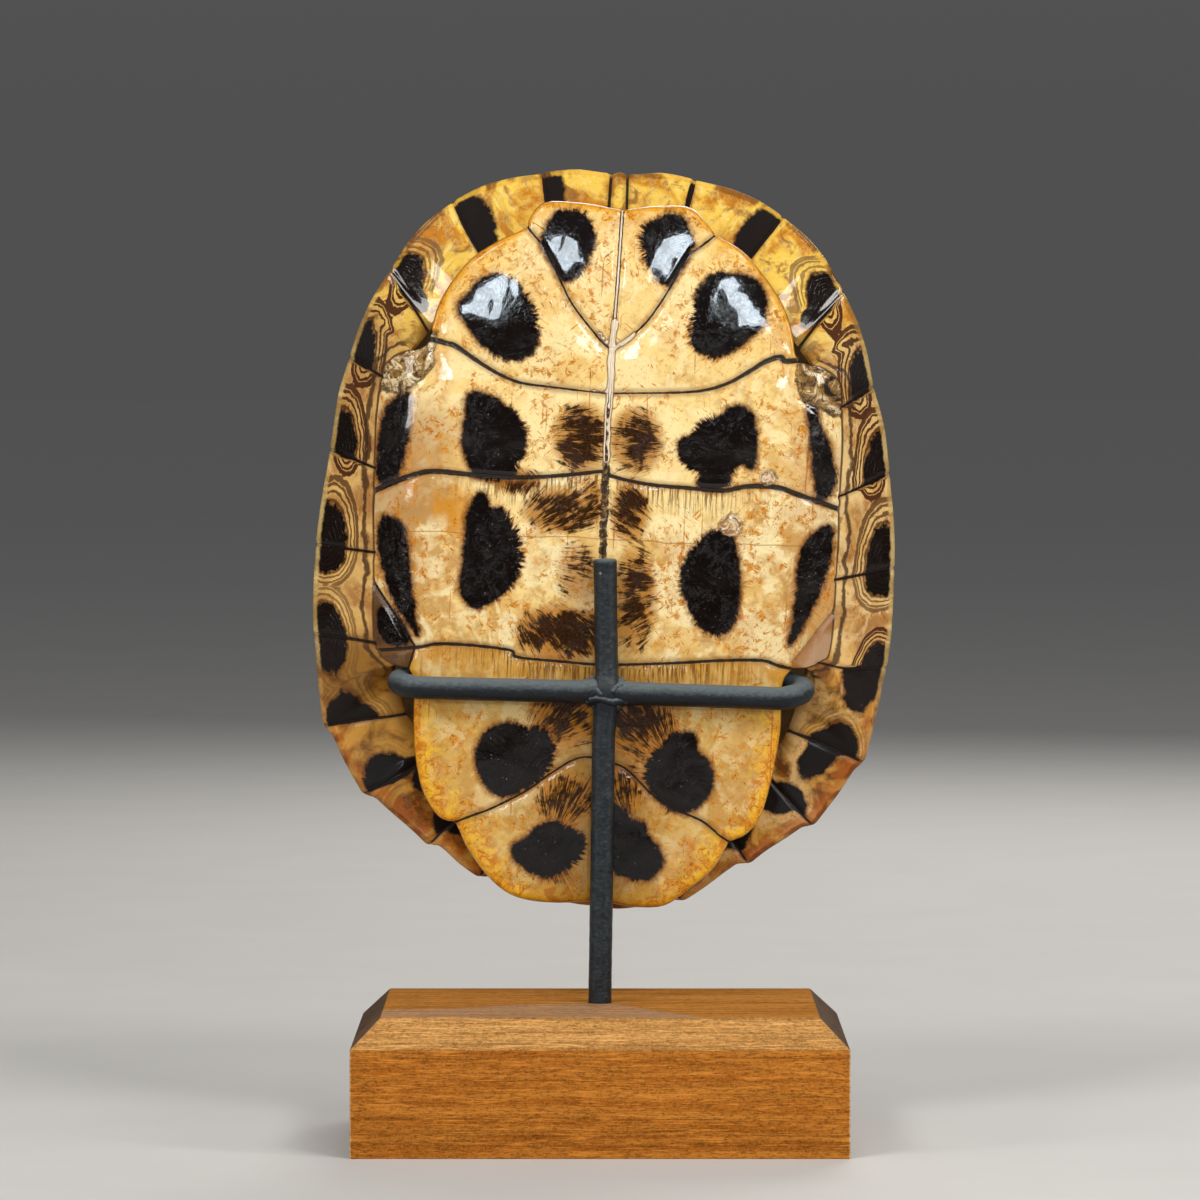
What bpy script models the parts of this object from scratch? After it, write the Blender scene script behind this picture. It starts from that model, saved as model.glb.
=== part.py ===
"""A slider turtle's shell on a small display stand.

The shell stands upright with its head end up and its flat plastron towards -Y.
It leans on a painted steel rod that stands in a block of wood, and two hooked
arms on that rod reach round the plastron's hind lobe and carry the bridges.
Units are metres, +Z is up, and the origin is the middle of the block's underside.
"""

import math

import bmesh
import bpy
from mathutils import Vector

MM = 0.001

# The stand, in millimetres
BASE_WIDTH = 137.0
BASE_DEPTH = 89.0
BASE_HEIGHT = 38.0
BASE_CHAMFER = 8.2
ROD_DIAMETER = 6.5
FIT_GAP = 0.3
HOLE_DEPTH = 25.0
ROD_TOP = 162.8
ROD_TIP_CHAMFER = 0.7
WELD_HEIGHT = 125.2
WELD_SPREAD = 5.0
WELD_SWELL = 0.5
ARM_BEND_RADIUS = 6.2
ROD_SIDES = 20

# Where the rod's centre line runs, as x against z: it leans a little, and is bent at the weld
ROD_LINE = [(-0.15, 30.0), (1.0, 112.0), (1.9, 128.0), (1.4, ROD_TOP)]

# Each arm's centre line: x of the bend's centre, x of the hidden end, and the heights of
# the front strand at the weld, the front strand at the bend, and the rear strand
LEFT_ARM = {"bend_x": -50.4, "end_x": -33.0, "weld_z": 125.4, "front_z": 126.6, "rear_z": 129.3}
RIGHT_ARM = {"bend_x": 51.0, "end_x": 34.0, "weld_z": 124.9, "front_z": 123.5, "rear_z": 127.7}

# The shell's own frame: u to the right, v from the plastron to the back, w to the head.
# Its point (0, 0, 0) lies on the plastron's face, near its middle.
SHELL_PLACE = (1.8, 3.6, 163.1)
SHELL_ROLL = math.radians(2.3)

# The grid of the shell: 24 marginal scutes round the rim, each this many steps long
MARGINALS = 24
STEPS = 4
AROUND = MARGINALS * STEPS
RINGS = AROUND // 8

# Where the seams between the marginals meet the rim, as (u, w), from the front to the rear
FRONT_MIDDLE = (-0.6, 108.3)
REAR_MIDDLE = (1.0, -99.8)
RIGHT_SEAMS = [
    (20.9, 107.4), (46.4, 97.9), (64.5, 77.3), (74.2, 50.6), (79.6, 26.3), (82.1, -0.6),
    (80.8, -29.0), (74.2, -55.6), (60.6, -73.3), (42.8, -84.6), (24.5, -96.0),
]
LEFT_SEAMS = [
    (-22.3, 107.6), (-47.6, 98.4), (-64.9, 78.1), (-75.3, 53.0), (-79.7, 26.7), (-82.6, -0.5),
    (-82.1, -26.0), (-77.0, -51.6), (-64.8, -69.6), (-46.2, -83.0), (-31.5, -91.4),
]

# Side values for the 13 seams from the front middle to the rear middle
RIM_HEIGHT = [27.0, 27.5, 28.5, 28.0, 26.0, 24.0, 23.0, 22.0, 19.5, 17.0, 15.5, 15.0, 17.0]
LIP_INSET = [21.0, 21.0, 20.5, 20.0, 19.0, 17.0, 17.0, 17.0, 21.0, 21.0, 20.0, 19.0, 17.5]
LIP_HEIGHT = [25.0, 25.0, 24.0, 17.5, 8.5, 8.0, 8.0, 8.0, 16.5, 20.0, 21.0, 21.5, 22.0]
TOOTH = [0.4, 0.2, 0.2, 0.2, 0.2, 0.2, 0.2, 0.4, 1.6, 2.0, 2.0, 1.8, 0.8]
DOME_POWER = [2.3, 2.3, 2.35, 2.5, 2.65, 2.75, 2.8, 2.75, 2.6, 2.45, 2.4, 2.35, 2.3]

# The carapace's highest point
APEX = (-0.3, 4.0)
APEX_HEIGHT = 82.0
KEEL_HEIGHT = 1.2
KEEL_WIDTH = 6.0
RIM_EDGE = 1.1
SHELL_WALL = 3.2
POCKET_INSET = 9.0
POCKET_WALL = 5.0

# The plastron: where the bridges begin and end, counted in marginals from the front middle
BRIDGE_START = 3.5
BRIDGE_END = 7.5
PLASTRON_CENTRE = (-0.5, 0.0)
LOBE_THICKNESS = 4.0
BRIDGE_WALL = 2.8
EDGE_ROUND = 1.2
EDGE_STEPS = 3
FRONT_LOBE = [
    (-57.0, 55.5), (-53.2, 57.3), (-51.9, 60.8), (-50.3, 67.0), (-46.7, 74.3), (-41.0, 81.7),
    (-33.5, 87.3), (-27.0, 91.4), (-24.6, 95.4), (-20.5, 98.6), (-9.0, 98.4), (0.2, 97.7),
    (9.0, 98.4), (18.6, 98.6), (23.4, 95.6), (27.0, 92.0), (34.0, 87.4), (40.3, 80.9),
    (45.5, 73.8), (48.9, 67.2), (50.5, 61.2), (52.2, 57.6), (55.8, 55.8),
]
RIGHT_BRIDGE = [
    (55.8, 55.8), (61.4, 53.3), (64.2, 47.5), (64.8, 23.0), (64.8, -1.0), (64.0, -23.0),
    (61.6, -27.0), (57.2, -29.0),
]
HIND_LOBE = [
    (57.2, -29.0), (52.8, -30.6), (50.8, -35.0), (50.9, -45.0), (49.9, -54.6), (48.2, -64.7),
    (45.6, -72.8), (42.0, -77.0), (38.2, -79.2), (33.5, -86.6), (27.6, -92.0), (20.5, -97.4),
    (12.6, -98.3), (1.0, -97.3), (-10.0, -98.0), (-18.9, -97.4), (-25.0, -95.2),
    (-30.6, -90.3), (-36.0, -83.4), (-39.6, -77.2), (-44.6, -74.8), (-49.0, -67.9),
    (-51.4, -58.7), (-52.3, -48.9), (-52.5, -42.2), (-52.6, -37.6), (-54.2, -34.2),
    (-58.2, -32.9),
]
LEFT_BRIDGE = [
    (-58.2, -32.9), (-62.8, -29.8), (-64.6, -23.5), (-65.4, -1.0), (-66.2, 23.0),
    (-65.2, 47.3), (-62.0, 53.2), (-57.0, 55.5),
]
BRIDGE_FLAT_HALF = 49.0
BRIDGE_RISE = 8.0
BRIDGE_REACH = 15.8
GULAR_LIFT = 2.6


def clear_scene():
    """Empties the scene that the file opens with."""
    for thing in list(bpy.data.objects):
        bpy.data.objects.remove(thing, do_unlink=True)


def material(name, colour, roughness, metallic=0.0):
    """A plain Principled material."""
    made = bpy.data.materials.new(name)
    made.use_nodes = True
    shader = made.node_tree.nodes["Principled BSDF"]
    shader.inputs["Base Color"].default_value = (*colour, 1.0)
    shader.inputs["Roughness"].default_value = roughness
    shader.inputs["Metallic"].default_value = metallic
    made.diffuse_color = (*colour, 1.0)
    return made


def add_object(name, bm, finish, place=(0.0, 0.0, 0.0), smooth_angle=40.0):
    """Turns a bmesh in millimetres into a named object in metres, smooth but for its sharp edges."""
    bmesh.ops.recalc_face_normals(bm, faces=bm.faces[:])
    bmesh.ops.scale(bm, vec=(MM, MM, MM), verts=bm.verts[:])
    mesh = bpy.data.meshes.new(name)
    bm.to_mesh(mesh)
    bm.free()
    mesh.shade_smooth()
    mesh.set_sharp_from_angle(angle=math.radians(smooth_angle))
    mesh.materials.append(finish)
    thing = bpy.data.objects.new(name, mesh)
    thing.location = [value * MM for value in place]
    bpy.context.scene.collection.objects.link(thing)
    return thing


def between(points, x):
    """A point of the straight line through (value, place) pairs sorted by place."""
    for (value_a, place_a), (value_b, place_b) in zip(points, points[1:]):
        if x <= place_b:
            break
    part = (x - place_a) / (place_b - place_a)
    return value_a + (value_b - value_a) * part


def catmull(a, b, c, d, x):
    """The smooth curve from b to c, which a and d come before and after."""
    return 0.5 * (
        2.0 * b + (c - a) * x + (2.0 * a - 5.0 * b + 4.0 * c - d) * x * x
        + (3.0 * b - a - 3.0 * c + d) * x * x * x
    )


def rim_seams():
    """The 24 seam points round the rim, from the front middle clockwise in the front view."""
    right = [Vector(point) for point in RIGHT_SEAMS]
    left = [Vector(point) for point in reversed(LEFT_SEAMS)]
    return [Vector(FRONT_MIDDLE), *right, Vector(REAR_MIDDLE), *left]


SEAMS = rim_seams()


def rim_line(q):
    """The rim without its teeth, at q marginals from the front middle."""
    first = math.floor(q)
    four = [SEAMS[(first + step) % MARGINALS] for step in (-1, 0, 1, 2)]
    return catmull(*four, q - first)


def side_value(values, q):
    """A value given for the 13 seams of a side, at q marginals from the front middle."""
    q = q % MARGINALS
    along = min(q, MARGINALS - q)
    first = min(math.floor(along), MARGINALS // 2 - 1)
    four = [values[abs(first - 1)], values[first], values[first + 1]]
    four.append(values[min(first + 2, MARGINALS // 2)])
    return catmull(*four, along - first)


def inward(q):
    """The direction in plan from the rim to the inside."""
    along = rim_line(q + 0.05) - rim_line(q - 0.05)
    return Vector((along.y, -along.x)).normalized()


def tooth(q):
    """How far the rim stands out: each marginal's rear corner is a tooth, sharpest at the rear."""
    q = q % MARGINALS
    along = min(q, MARGINALS - q)
    past_seam = along - math.floor(along)
    slope_back = max(0.0, 1.0 - past_seam / 0.16)
    slope_up = max(0.0, (past_seam - 0.16) / 0.84)
    height = max(slope_back * slope_back, slope_up * slope_up)
    if along == MARGINALS // 2:
        height = 0.0
    return side_value(TOOTH, q) * height


def rim(q):
    """The rim's outermost point in plan."""
    return rim_line(q) - inward(q) * tooth(q)


def walk(points, part):
    """The point at this part of the length of the smooth curve through the points."""
    knots = [Vector(point) for point in points]
    knots = [knots[0] * 2.0 - knots[1], *knots, knots[-1] * 2.0 - knots[-2]]
    fine = [
        catmull(*knots[first : first + 4], step / 8.0)
        for first in range(len(knots) - 3)
        for step in range(8)
    ]
    fine.append(knots[-2])
    lengths = [(b - a).length for a, b in zip(fine, fine[1:])]
    left_over = part * sum(lengths)
    for index, length in enumerate(lengths):
        if left_over <= length:
            return fine[index].lerp(fine[index + 1], left_over / length)
        left_over -= length
    return fine[-1]


def on_bridge(q):
    """Whether the rim at q is joined to the plastron by a bridge."""
    along = min(q % MARGINALS, MARGINALS - q % MARGINALS)
    return BRIDGE_START <= along <= BRIDGE_END


def outline(q):
    """The plastron's outline in plan: two free lobes, and the bridges' outer seams between them."""
    q = q % MARGINALS
    runs = [
        (-BRIDGE_START, BRIDGE_START, FRONT_LOBE),
        (BRIDGE_START, BRIDGE_END, RIGHT_BRIDGE),
        (BRIDGE_END, MARGINALS - BRIDGE_END, HIND_LOBE),
        (MARGINALS - BRIDGE_END, MARGINALS - BRIDGE_START, LEFT_BRIDGE),
        (MARGINALS - BRIDGE_START, MARGINALS + BRIDGE_START, FRONT_LOBE),
    ]
    for start, end, points in runs:
        if start <= q <= end:
            return walk(points, (q - start) / (end - start))


def outline_outward(q):
    """The direction in plan away from the plastron, at its outline."""
    along = outline(q + 0.1) - outline(q - 0.1)
    return Vector((-along.y, along.x)).normalized()


def lip(q):
    """The inner edge of the marginals' undersides in plan; on the bridges it is the outline."""
    if on_bridge(q):
        return outline(q)
    along = min(q % MARGINALS, MARGINALS - q % MARGINALS)
    free = rim_line(q) + inward(q) * side_value(LIP_INSET, q)
    nearest = BRIDGE_START if along < BRIDGE_START else BRIDGE_END
    notch = outline(nearest if q % MARGINALS < MARGINALS / 2 else MARGINALS - nearest)
    blend = max(0.0, 1.0 - abs(along - nearest) / 0.9)
    blend = blend * blend * (3.0 - 2.0 * blend)
    return free.lerp(notch, blend)


def lip_height(q):
    """How far behind the plastron's face the lip lies."""
    if on_bridge(q):
        return plastron_height(*outline(q))
    along = min(q % MARGINALS, MARGINALS - q % MARGINALS)
    nearest = BRIDGE_START if along < BRIDGE_START else BRIDGE_END
    notch = outline(nearest if q % MARGINALS < MARGINALS / 2 else MARGINALS - nearest)
    blend = max(0.0, 1.0 - abs(along - nearest) / 0.5)
    return (1.0 - blend) * side_value(LIP_HEIGHT, q) + blend * plastron_height(*notch)


def plastron_height(u, w):
    """The plastron's face: flat, rising to the bridges and a little at the throat."""
    side = max(0.0, (abs(u) - BRIDGE_FLAT_HALF) / BRIDGE_REACH)
    throat = max(0.0, (w - 58.0) / 40.0)
    return BRIDGE_RISE * side**1.7 + GULAR_LIFT * throat**2


def with_height(plan, height):
    """A point of the shell's frame from its plan point (u, w) and its height v."""
    return Vector((plan.x, height, plan.y))


def dome_height(q, out, rim_height):
    """The carapace's outer height, where out is 0 at the apex and 1 at the rim."""
    fall = out ** side_value(DOME_POWER, q)
    return APEX_HEIGHT + (rim_height - APEX_HEIGHT) * fall


def carapace_outside(q, t):
    """The carapace's outer face, from the apex at t = 0 to the rim at t = 1."""
    out = math.sin(0.5 * math.pi * t) ** 0.9
    edge = rim(q) + inward(q) * (0.7 * RIM_EDGE)
    plan = Vector(APEX).lerp(edge, out)
    height = dome_height(q, out, side_value(RIM_HEIGHT, q) + RIM_EDGE)
    ridge = math.exp(-((plan.x - APEX[0]) / KEEL_WIDTH) ** 2)
    return with_height(plan, height + KEEL_HEIGHT * ridge * (1.0 - out))


def carapace_inside(q, t):
    """The hollow's roof, from under the apex to the pockets behind the marginals."""
    out = math.sin(0.5 * math.pi * t) ** 0.9
    pocket = rim_line(q) + inward(q) * POCKET_INSET
    plan = Vector(APEX).lerp(pocket, out)
    span = (rim_line(q) - Vector(APEX)).length
    pocket_out = (pocket - Vector(APEX)).length / span
    low = dome_height(q, pocket_out, side_value(RIM_HEIGHT, q)) - POCKET_WALL
    power = side_value(DOME_POWER, q)
    high = APEX_HEIGHT - SHELL_WALL
    return with_height(plan, high + (low - high) * out**power)


def underside(q, part):
    """The marginals' undersides, from just under the rim at 0 to the lip at 1."""
    start = rim(q) + inward(q) * (0.7 * RIM_EDGE)
    start_height = side_value(RIM_HEIGHT, q) - RIM_EDGE
    plan = start.lerp(lip(q), part)
    return with_height(plan, start_height + (lip_height(q) - start_height) * part)


def lip_inside(q):
    """The lip's inner edge, one wall thickness behind its outer edge."""
    plan = lip(q) - outline_outward(q) * 1.6 if on_bridge(q) else lip(q) - inward(q) * 1.0
    return with_height(plan, lip_height(q) + BRIDGE_WALL)


def edge_roundness(q):
    """How far a free edge's rounding stands out: less close to a notch, where there is no room."""
    along = min(q % MARGINALS, MARGINALS - q % MARGINALS)
    clear = min(abs(along - BRIDGE_START), abs(along - BRIDGE_END))
    return EDGE_ROUND * min(1.0, 0.3 + clear)


def plastron_outside(q, t):
    """The plastron's outer face, from its middle at t = 0 to its outline at t = 1."""
    edge = outline(q) if on_bridge(q) else outline(q) - outline_outward(q) * edge_roundness(q)
    plan = Vector(PLASTRON_CENTRE).lerp(edge, t)
    return with_height(plan, plastron_height(*plan))


def plastron_inside(q, t):
    """The hollow's floor."""
    edge = plastron_outside(q, 1.0)
    plan = Vector(PLASTRON_CENTRE).lerp(Vector((edge.x, edge.z)), t)
    wall = BRIDGE_WALL + (LOBE_THICKNESS - BRIDGE_WALL) * t**4
    return with_height(plan, plastron_height(*plan) + wall)


def square_cell(ring, step):
    """Where a ring's point lies in a square net, so that the net wraps a round patch evenly."""
    side = step - ring
    if side < 0:
        return (step, ring)
    if side < 2 * ring:
        return (ring, ring - side)
    if side < 4 * ring:
        return (3 * ring - side, -ring)
    if side < 6 * ring:
        return (-ring, side - 5 * ring)
    return (side - 7 * ring, ring)


def add_patch(bm, place, given_edge=None):
    """A round patch as a square net; place(q, t) gives its points. Returns its edge's points."""
    net = {}
    for ring in range(RINGS + 1):
        for step in range(max(1, 8 * ring)):
            if ring == RINGS and given_edge and step in given_edge:
                net[square_cell(ring, step)] = given_edge[step]
                continue
            q = MARGINALS * step / (8 * ring) if ring else 0.0
            net[square_cell(ring, step)] = bm.verts.new(place(q, ring / RINGS))
    for i in range(-RINGS, RINGS):
        for j in range(-RINGS, RINGS):
            bm.faces.new([net[i, j], net[i + 1, j], net[i + 1, j + 1], net[i, j + 1]])
    return [net[square_cell(RINGS, step)] for step in range(AROUND)]


def add_ring(bm, place):
    """One ring of points round the shell."""
    return [bm.verts.new(place(MARGINALS * step / AROUND)) for step in range(AROUND)]


def join_rings(bm, ring_a, ring_b, steps=None):
    """Faces between two rings, all round or only over the steps given."""
    for step in range(AROUND) if steps is None else steps:
        after = (step + 1) % AROUND
        bm.faces.new([ring_a[step], ring_a[after], ring_b[after], ring_b[step]])


def edge_point(outer, inner, outward, angle):
    """A point of a rounded free edge between its outer and inner corners."""
    return outer.lerp(inner, 0.5 - 0.5 * math.cos(angle)) + outward * math.sin(angle)


def add_free_edges(bm, outer, inner, outward, steps, shared):
    """Rounded strips along the lobes or the lip; shared holds the points at the four notches."""
    rows = [outer]
    for turn in range(1, EDGE_STEPS):
        row = {}
        for step in sorted({index % AROUND for run in steps for index in run}):
            if (turn, step) in shared:
                row[step] = shared[turn, step]
                continue
            direction = outward(step) * edge_roundness(MARGINALS * step / AROUND)
            angle = math.pi * turn / EDGE_STEPS
            row[step] = bm.verts.new(edge_point(outer[step].co, inner[step].co, direction, angle))
            if step in NOTCH_STEPS:
                shared[turn, step] = row[step]
        rows.append(row)
    rows.append(inner)
    for row_a, row_b in zip(rows, rows[1:]):
        for run in steps:
            join_rings(bm, row_a, row_b, [index % AROUND for index in run[:-1]])


NOTCHES = [BRIDGE_START, BRIDGE_END, MARGINALS - BRIDGE_END, MARGINALS - BRIDGE_START]
NOTCH_STEPS = [round(q * STEPS) for q in NOTCHES]


def lobe_outward(step):
    """The direction that a lobe's free edge faces; at a notch, straight out of it."""
    if step in NOTCH_STEPS:
        return Vector((0.0, 0.0, 1.0 if step in (NOTCH_STEPS[0], NOTCH_STEPS[3]) else -1.0))
    return with_height(outline_outward(MARGINALS * step / AROUND), 0.0)


def lip_outward(step):
    """The direction that the lip's free edge faces."""
    return with_height(inward(MARGINALS * step / AROUND), 0.0)


def build_shell(finish):
    """The whole shell: carapace, bridges and plastron as one hollow solid."""
    bm = bmesh.new()
    top_edge = add_patch(bm, carapace_outside)
    rim_edge = add_ring(bm, lambda q: with_height(rim(q), side_value(RIM_HEIGHT, q)))
    parts = (0.0, 0.34, 0.67, 1.0)
    under = [add_ring(bm, lambda q, part=part: underside(q, part)) for part in parts]
    outer_rings = [top_edge, rim_edge, *under]
    for ring_a, ring_b in zip(outer_rings, outer_rings[1:]):
        join_rings(bm, ring_a, ring_b)

    roof_edge = add_patch(bm, carapace_inside)
    inner_lip = add_ring(bm, lip_inside)
    middle = [bm.verts.new(roof_edge[step].co.lerp(inner_lip[step].co, 0.5)) for step in range(AROUND)]
    join_rings(bm, roof_edge, middle)
    join_rings(bm, middle, inner_lip)

    lip_edge = under[-1]
    bridge_steps = [step for step in range(AROUND) if on_bridge(step / STEPS)]
    face_edge = add_patch(bm, plastron_outside, {step: lip_edge[step] for step in bridge_steps})
    floor_edge = add_patch(bm, plastron_inside, {step: inner_lip[step] for step in bridge_steps})

    front = range(NOTCH_STEPS[3], NOTCH_STEPS[0] + AROUND + 1)
    rear = range(NOTCH_STEPS[1], NOTCH_STEPS[2] + 1)
    shared = {}
    add_free_edges(bm, face_edge, floor_edge, lobe_outward, (front, rear), shared)
    add_free_edges(bm, lip_edge, inner_lip, lip_outward, (front, rear), shared)

    shell = add_object("turtle_shell", bm, finish, SHELL_PLACE)
    shell.rotation_euler = (0.0, SHELL_ROLL, 0.0)
    return shell


def add_tube(bm, path, radii, sides=ROD_SIDES):
    """A round bar along a path of points in millimetres, closed at both ends."""
    rows = []
    tangent = (path[1] - path[0]).normalized()
    side = tangent.orthogonal().normalized()
    for index, point in enumerate(path):
        before = path[max(index - 1, 0)]
        after = path[min(index + 1, len(path) - 1)]
        turned = (after - before).normalized()
        side = (tangent.rotation_difference(turned) @ side).normalized()
        tangent = turned
        other = tangent.cross(side)
        angles = [2.0 * math.pi * turn / sides for turn in range(sides)]
        spokes = [side * math.cos(angle) + other * math.sin(angle) for angle in angles]
        rows.append([bm.verts.new(point + spoke * radii[index]) for spoke in spokes])
    for row_a, row_b in zip(rows, rows[1:]):
        for turn in range(sides):
            after = (turn + 1) % sides
            bm.faces.new([row_a[turn], row_a[after], row_b[after], row_b[turn]])
    bm.faces.new(rows[0])
    bm.faces.new(rows[-1])


def rod_shape(extra):
    """The upright rod's centre points and radii, made thicker by extra."""
    foot = BASE_HEIGHT - HOLE_DEPTH + FIT_GAP
    heights = [foot, 60.0, 90.0, 112.0]
    heights += [WELD_HEIGHT + step * WELD_SPREAD / 2.0 for step in range(-3, 4)]
    heights += [146.0, ROD_TOP - ROD_TIP_CHAMFER, ROD_TOP]
    path = []
    radii = []
    for height in sorted(heights):
        swell = WELD_SWELL * math.exp(-(((height - WELD_HEIGHT) / WELD_SPREAD) ** 2) * 1.5)
        path.append(Vector((between(ROD_LINE, height), -swell, height)))
        radii.append(ROD_DIAMETER / 2.0 + swell + extra)
    radii[-1] -= ROD_TIP_CHAMFER
    return path, radii


def build_rod(finish):
    """The upright rod, from its hole in the block to its tip at the plastron's middle."""
    bm = bmesh.new()
    add_tube(bm, *rod_shape(0.0))
    return add_object("upright_rod", bm, finish)


def arm_path(arm):
    """An arm's centre line: out from the rod, round the lobe's edge and back in behind it."""
    hand = math.copysign(1.0, arm["bend_x"])
    points = [Vector((between(ROD_LINE, WELD_HEIGHT), 0.0, arm["weld_z"]))]
    middle = (arm["bend_x"] * 0.5, 0.0, (arm["weld_z"] + arm["front_z"]) * 0.5)
    points.append(Vector(middle))
    bends = 12
    for step in range(bends + 1):
        angle = math.pi * step / bends
        x = arm["bend_x"] + hand * ARM_BEND_RADIUS * math.sin(angle)
        y = ARM_BEND_RADIUS * (1.0 - math.cos(angle))
        z = arm["front_z"] + (arm["rear_z"] - arm["front_z"]) * step / bends
        points.append(Vector((x, y, z)))
    points.append(Vector((arm["end_x"], 2.0 * ARM_BEND_RADIUS, arm["rear_z"] + 0.2)))
    return points


def cut(thing, cutter):
    """Takes the cutter's shape out of the thing."""
    cutter.hide_render = True
    cutter.display_type = "WIRE"
    knife = thing.modifiers.new("cut", "BOOLEAN")
    knife.operation = "DIFFERENCE"
    knife.solver = "EXACT"
    knife.object = cutter


def build_arm(name, arm, finish, cope):
    """One hooked arm, its inner end coped to fit the upright rod."""
    bm = bmesh.new()
    path = arm_path(arm)
    add_tube(bm, path, [ROD_DIAMETER / 2.0] * len(path))
    made = add_object(name, bm, finish)
    cut(made, cope)
    return made


def build_base(finish):
    """The block of wood, its four top edges cut to a slope, with a blind hole for the rod."""
    bm = bmesh.new()
    bmesh.ops.create_cube(bm, size=1.0)
    bmesh.ops.scale(bm, vec=(BASE_WIDTH, BASE_DEPTH, BASE_HEIGHT), verts=bm.verts[:])
    bmesh.ops.translate(bm, vec=(0.0, 0.0, BASE_HEIGHT / 2.0), verts=bm.verts[:])
    top = [edge for edge in bm.edges if min(vert.co.z for vert in edge.verts) > BASE_HEIGHT / 2.0]
    bmesh.ops.bevel(
        bm, geom=top, offset=BASE_CHAMFER, offset_type="OFFSET", segments=1, affect="EDGES"
    )
    base = add_object("wood_base", bm, finish, smooth_angle=20.0)
    cut(base, hole_cutter(finish))
    return base


def hole_cutter(finish):
    """A round cutter for the blind hole, following the rod's lean."""
    bm = bmesh.new()
    heights = (BASE_HEIGHT - HOLE_DEPTH, BASE_HEIGHT + 6.0)
    path = [Vector((between(ROD_LINE, height), 0.0, height)) for height in heights]
    add_tube(bm, path, [ROD_DIAMETER / 2.0 + FIT_GAP] * 2, sides=ROD_SIDES)
    return add_object("hole_cutter", bm, finish)


def rod_cutter(finish):
    """The upright rod made thicker by the fit gap, which copes the arms' inner ends."""
    bm = bmesh.new()
    add_tube(bm, *rod_shape(FIT_GAP))
    return add_object("rod_cutter", bm, finish)


def main():
    clear_scene()
    shell_finish = material("varnished_scutes", (0.72, 0.50, 0.22), 0.22)
    steel_finish = material("charcoal_paint", (0.055, 0.06, 0.065), 0.5, 0.2)
    wood_finish = material("honey_wood", (0.46, 0.25, 0.09), 0.5)
    build_shell(shell_finish)
    build_rod(steel_finish)
    cope = rod_cutter(steel_finish)
    build_arm("left_hook_arm", LEFT_ARM, steel_finish, cope)
    build_arm("right_hook_arm", RIGHT_ARM, steel_finish, cope)
    build_base(wood_finish)


main()
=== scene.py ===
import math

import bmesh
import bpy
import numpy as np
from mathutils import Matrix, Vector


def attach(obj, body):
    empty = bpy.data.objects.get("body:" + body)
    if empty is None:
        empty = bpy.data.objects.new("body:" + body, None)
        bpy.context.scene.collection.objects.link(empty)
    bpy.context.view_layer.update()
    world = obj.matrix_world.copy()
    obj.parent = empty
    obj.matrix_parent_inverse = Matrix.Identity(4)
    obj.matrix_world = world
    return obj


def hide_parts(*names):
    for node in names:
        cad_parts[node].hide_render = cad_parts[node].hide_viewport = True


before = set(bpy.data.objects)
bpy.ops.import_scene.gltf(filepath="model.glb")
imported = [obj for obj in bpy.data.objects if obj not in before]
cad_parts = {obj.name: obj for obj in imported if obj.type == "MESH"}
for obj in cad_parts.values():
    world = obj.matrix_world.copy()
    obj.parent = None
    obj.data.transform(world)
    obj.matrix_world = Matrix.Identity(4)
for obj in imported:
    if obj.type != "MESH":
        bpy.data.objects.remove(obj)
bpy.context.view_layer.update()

# %% [markdown]
# # A slider turtle's shell on its stand
# The shell of a slider stands on end with its flat belly side, the plastron, towards us.
# Two hooked steel arms hold it on a painted rod, and the rod stands in a block of wood.
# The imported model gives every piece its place. This lesson makes each piece again with
# more detail, and mixes its finish from shader nodes.

MM = 0.001

# %% [markdown]
# ## The camera
# A long lens far away keeps the block's edges almost parallel. Its place was worked out
# from the block's corners and the tips of the marginals, so the lens, the height and the
# small tilt are plain numbers.

# %% Place the camera
def add_object(name, data):
    made = bpy.data.objects.new(name, data)
    bpy.context.scene.collection.objects.link(made)
    return made


FOCAL_PIXELS, PICTURE_PIXELS = 5694.0, 1200.0
SENSOR = 36.0
CAMERA_PLACE = (0.0, -1.594, 0.218)
LOOK_DOWN = 2.4
lens = bpy.data.cameras.new("long_lens")
lens.sensor_width = SENSOR
lens.lens = FOCAL_PIXELS / PICTURE_PIXELS * SENSOR
camera = add_object("camera", lens)
camera.location = CAMERA_PLACE
camera.rotation_euler = (math.radians(90.0 - LOOK_DOWN), 0.0, 0.0)
bpy.context.scene.camera = camera
print("lens in mm:", round(lens.lens, 1))

# %% [markdown]
# ## Light and floor
# Varnished horn shows its form by what it mirrors. Two small soft boxes beside the camera
# make the crisp bluish patches on the throat. Two larger lights above, to the left and the
# right, do most of the lighting, and weaker ones at the sides and behind show the edges.
# The room is plain grey, so nothing else is mirrored. The plain colour transform keeps the
# horn's strong yellows.


# %% Soft lights, the room and a pale floor
def soft_light(name, place, target, size, watts, colour):
    """A rectangular area light that looks at a target."""
    data = bpy.data.lights.new(name, "AREA")
    data.shape = "RECTANGLE"
    data.size, data.size_y = size
    data.energy = watts
    data.color = colour
    lamp = add_object(name, data)
    lamp.location = place
    lamp.rotation_euler = (Vector(target) - Vector(place)).to_track_quat("-Z", "Y").to_euler()


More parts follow.
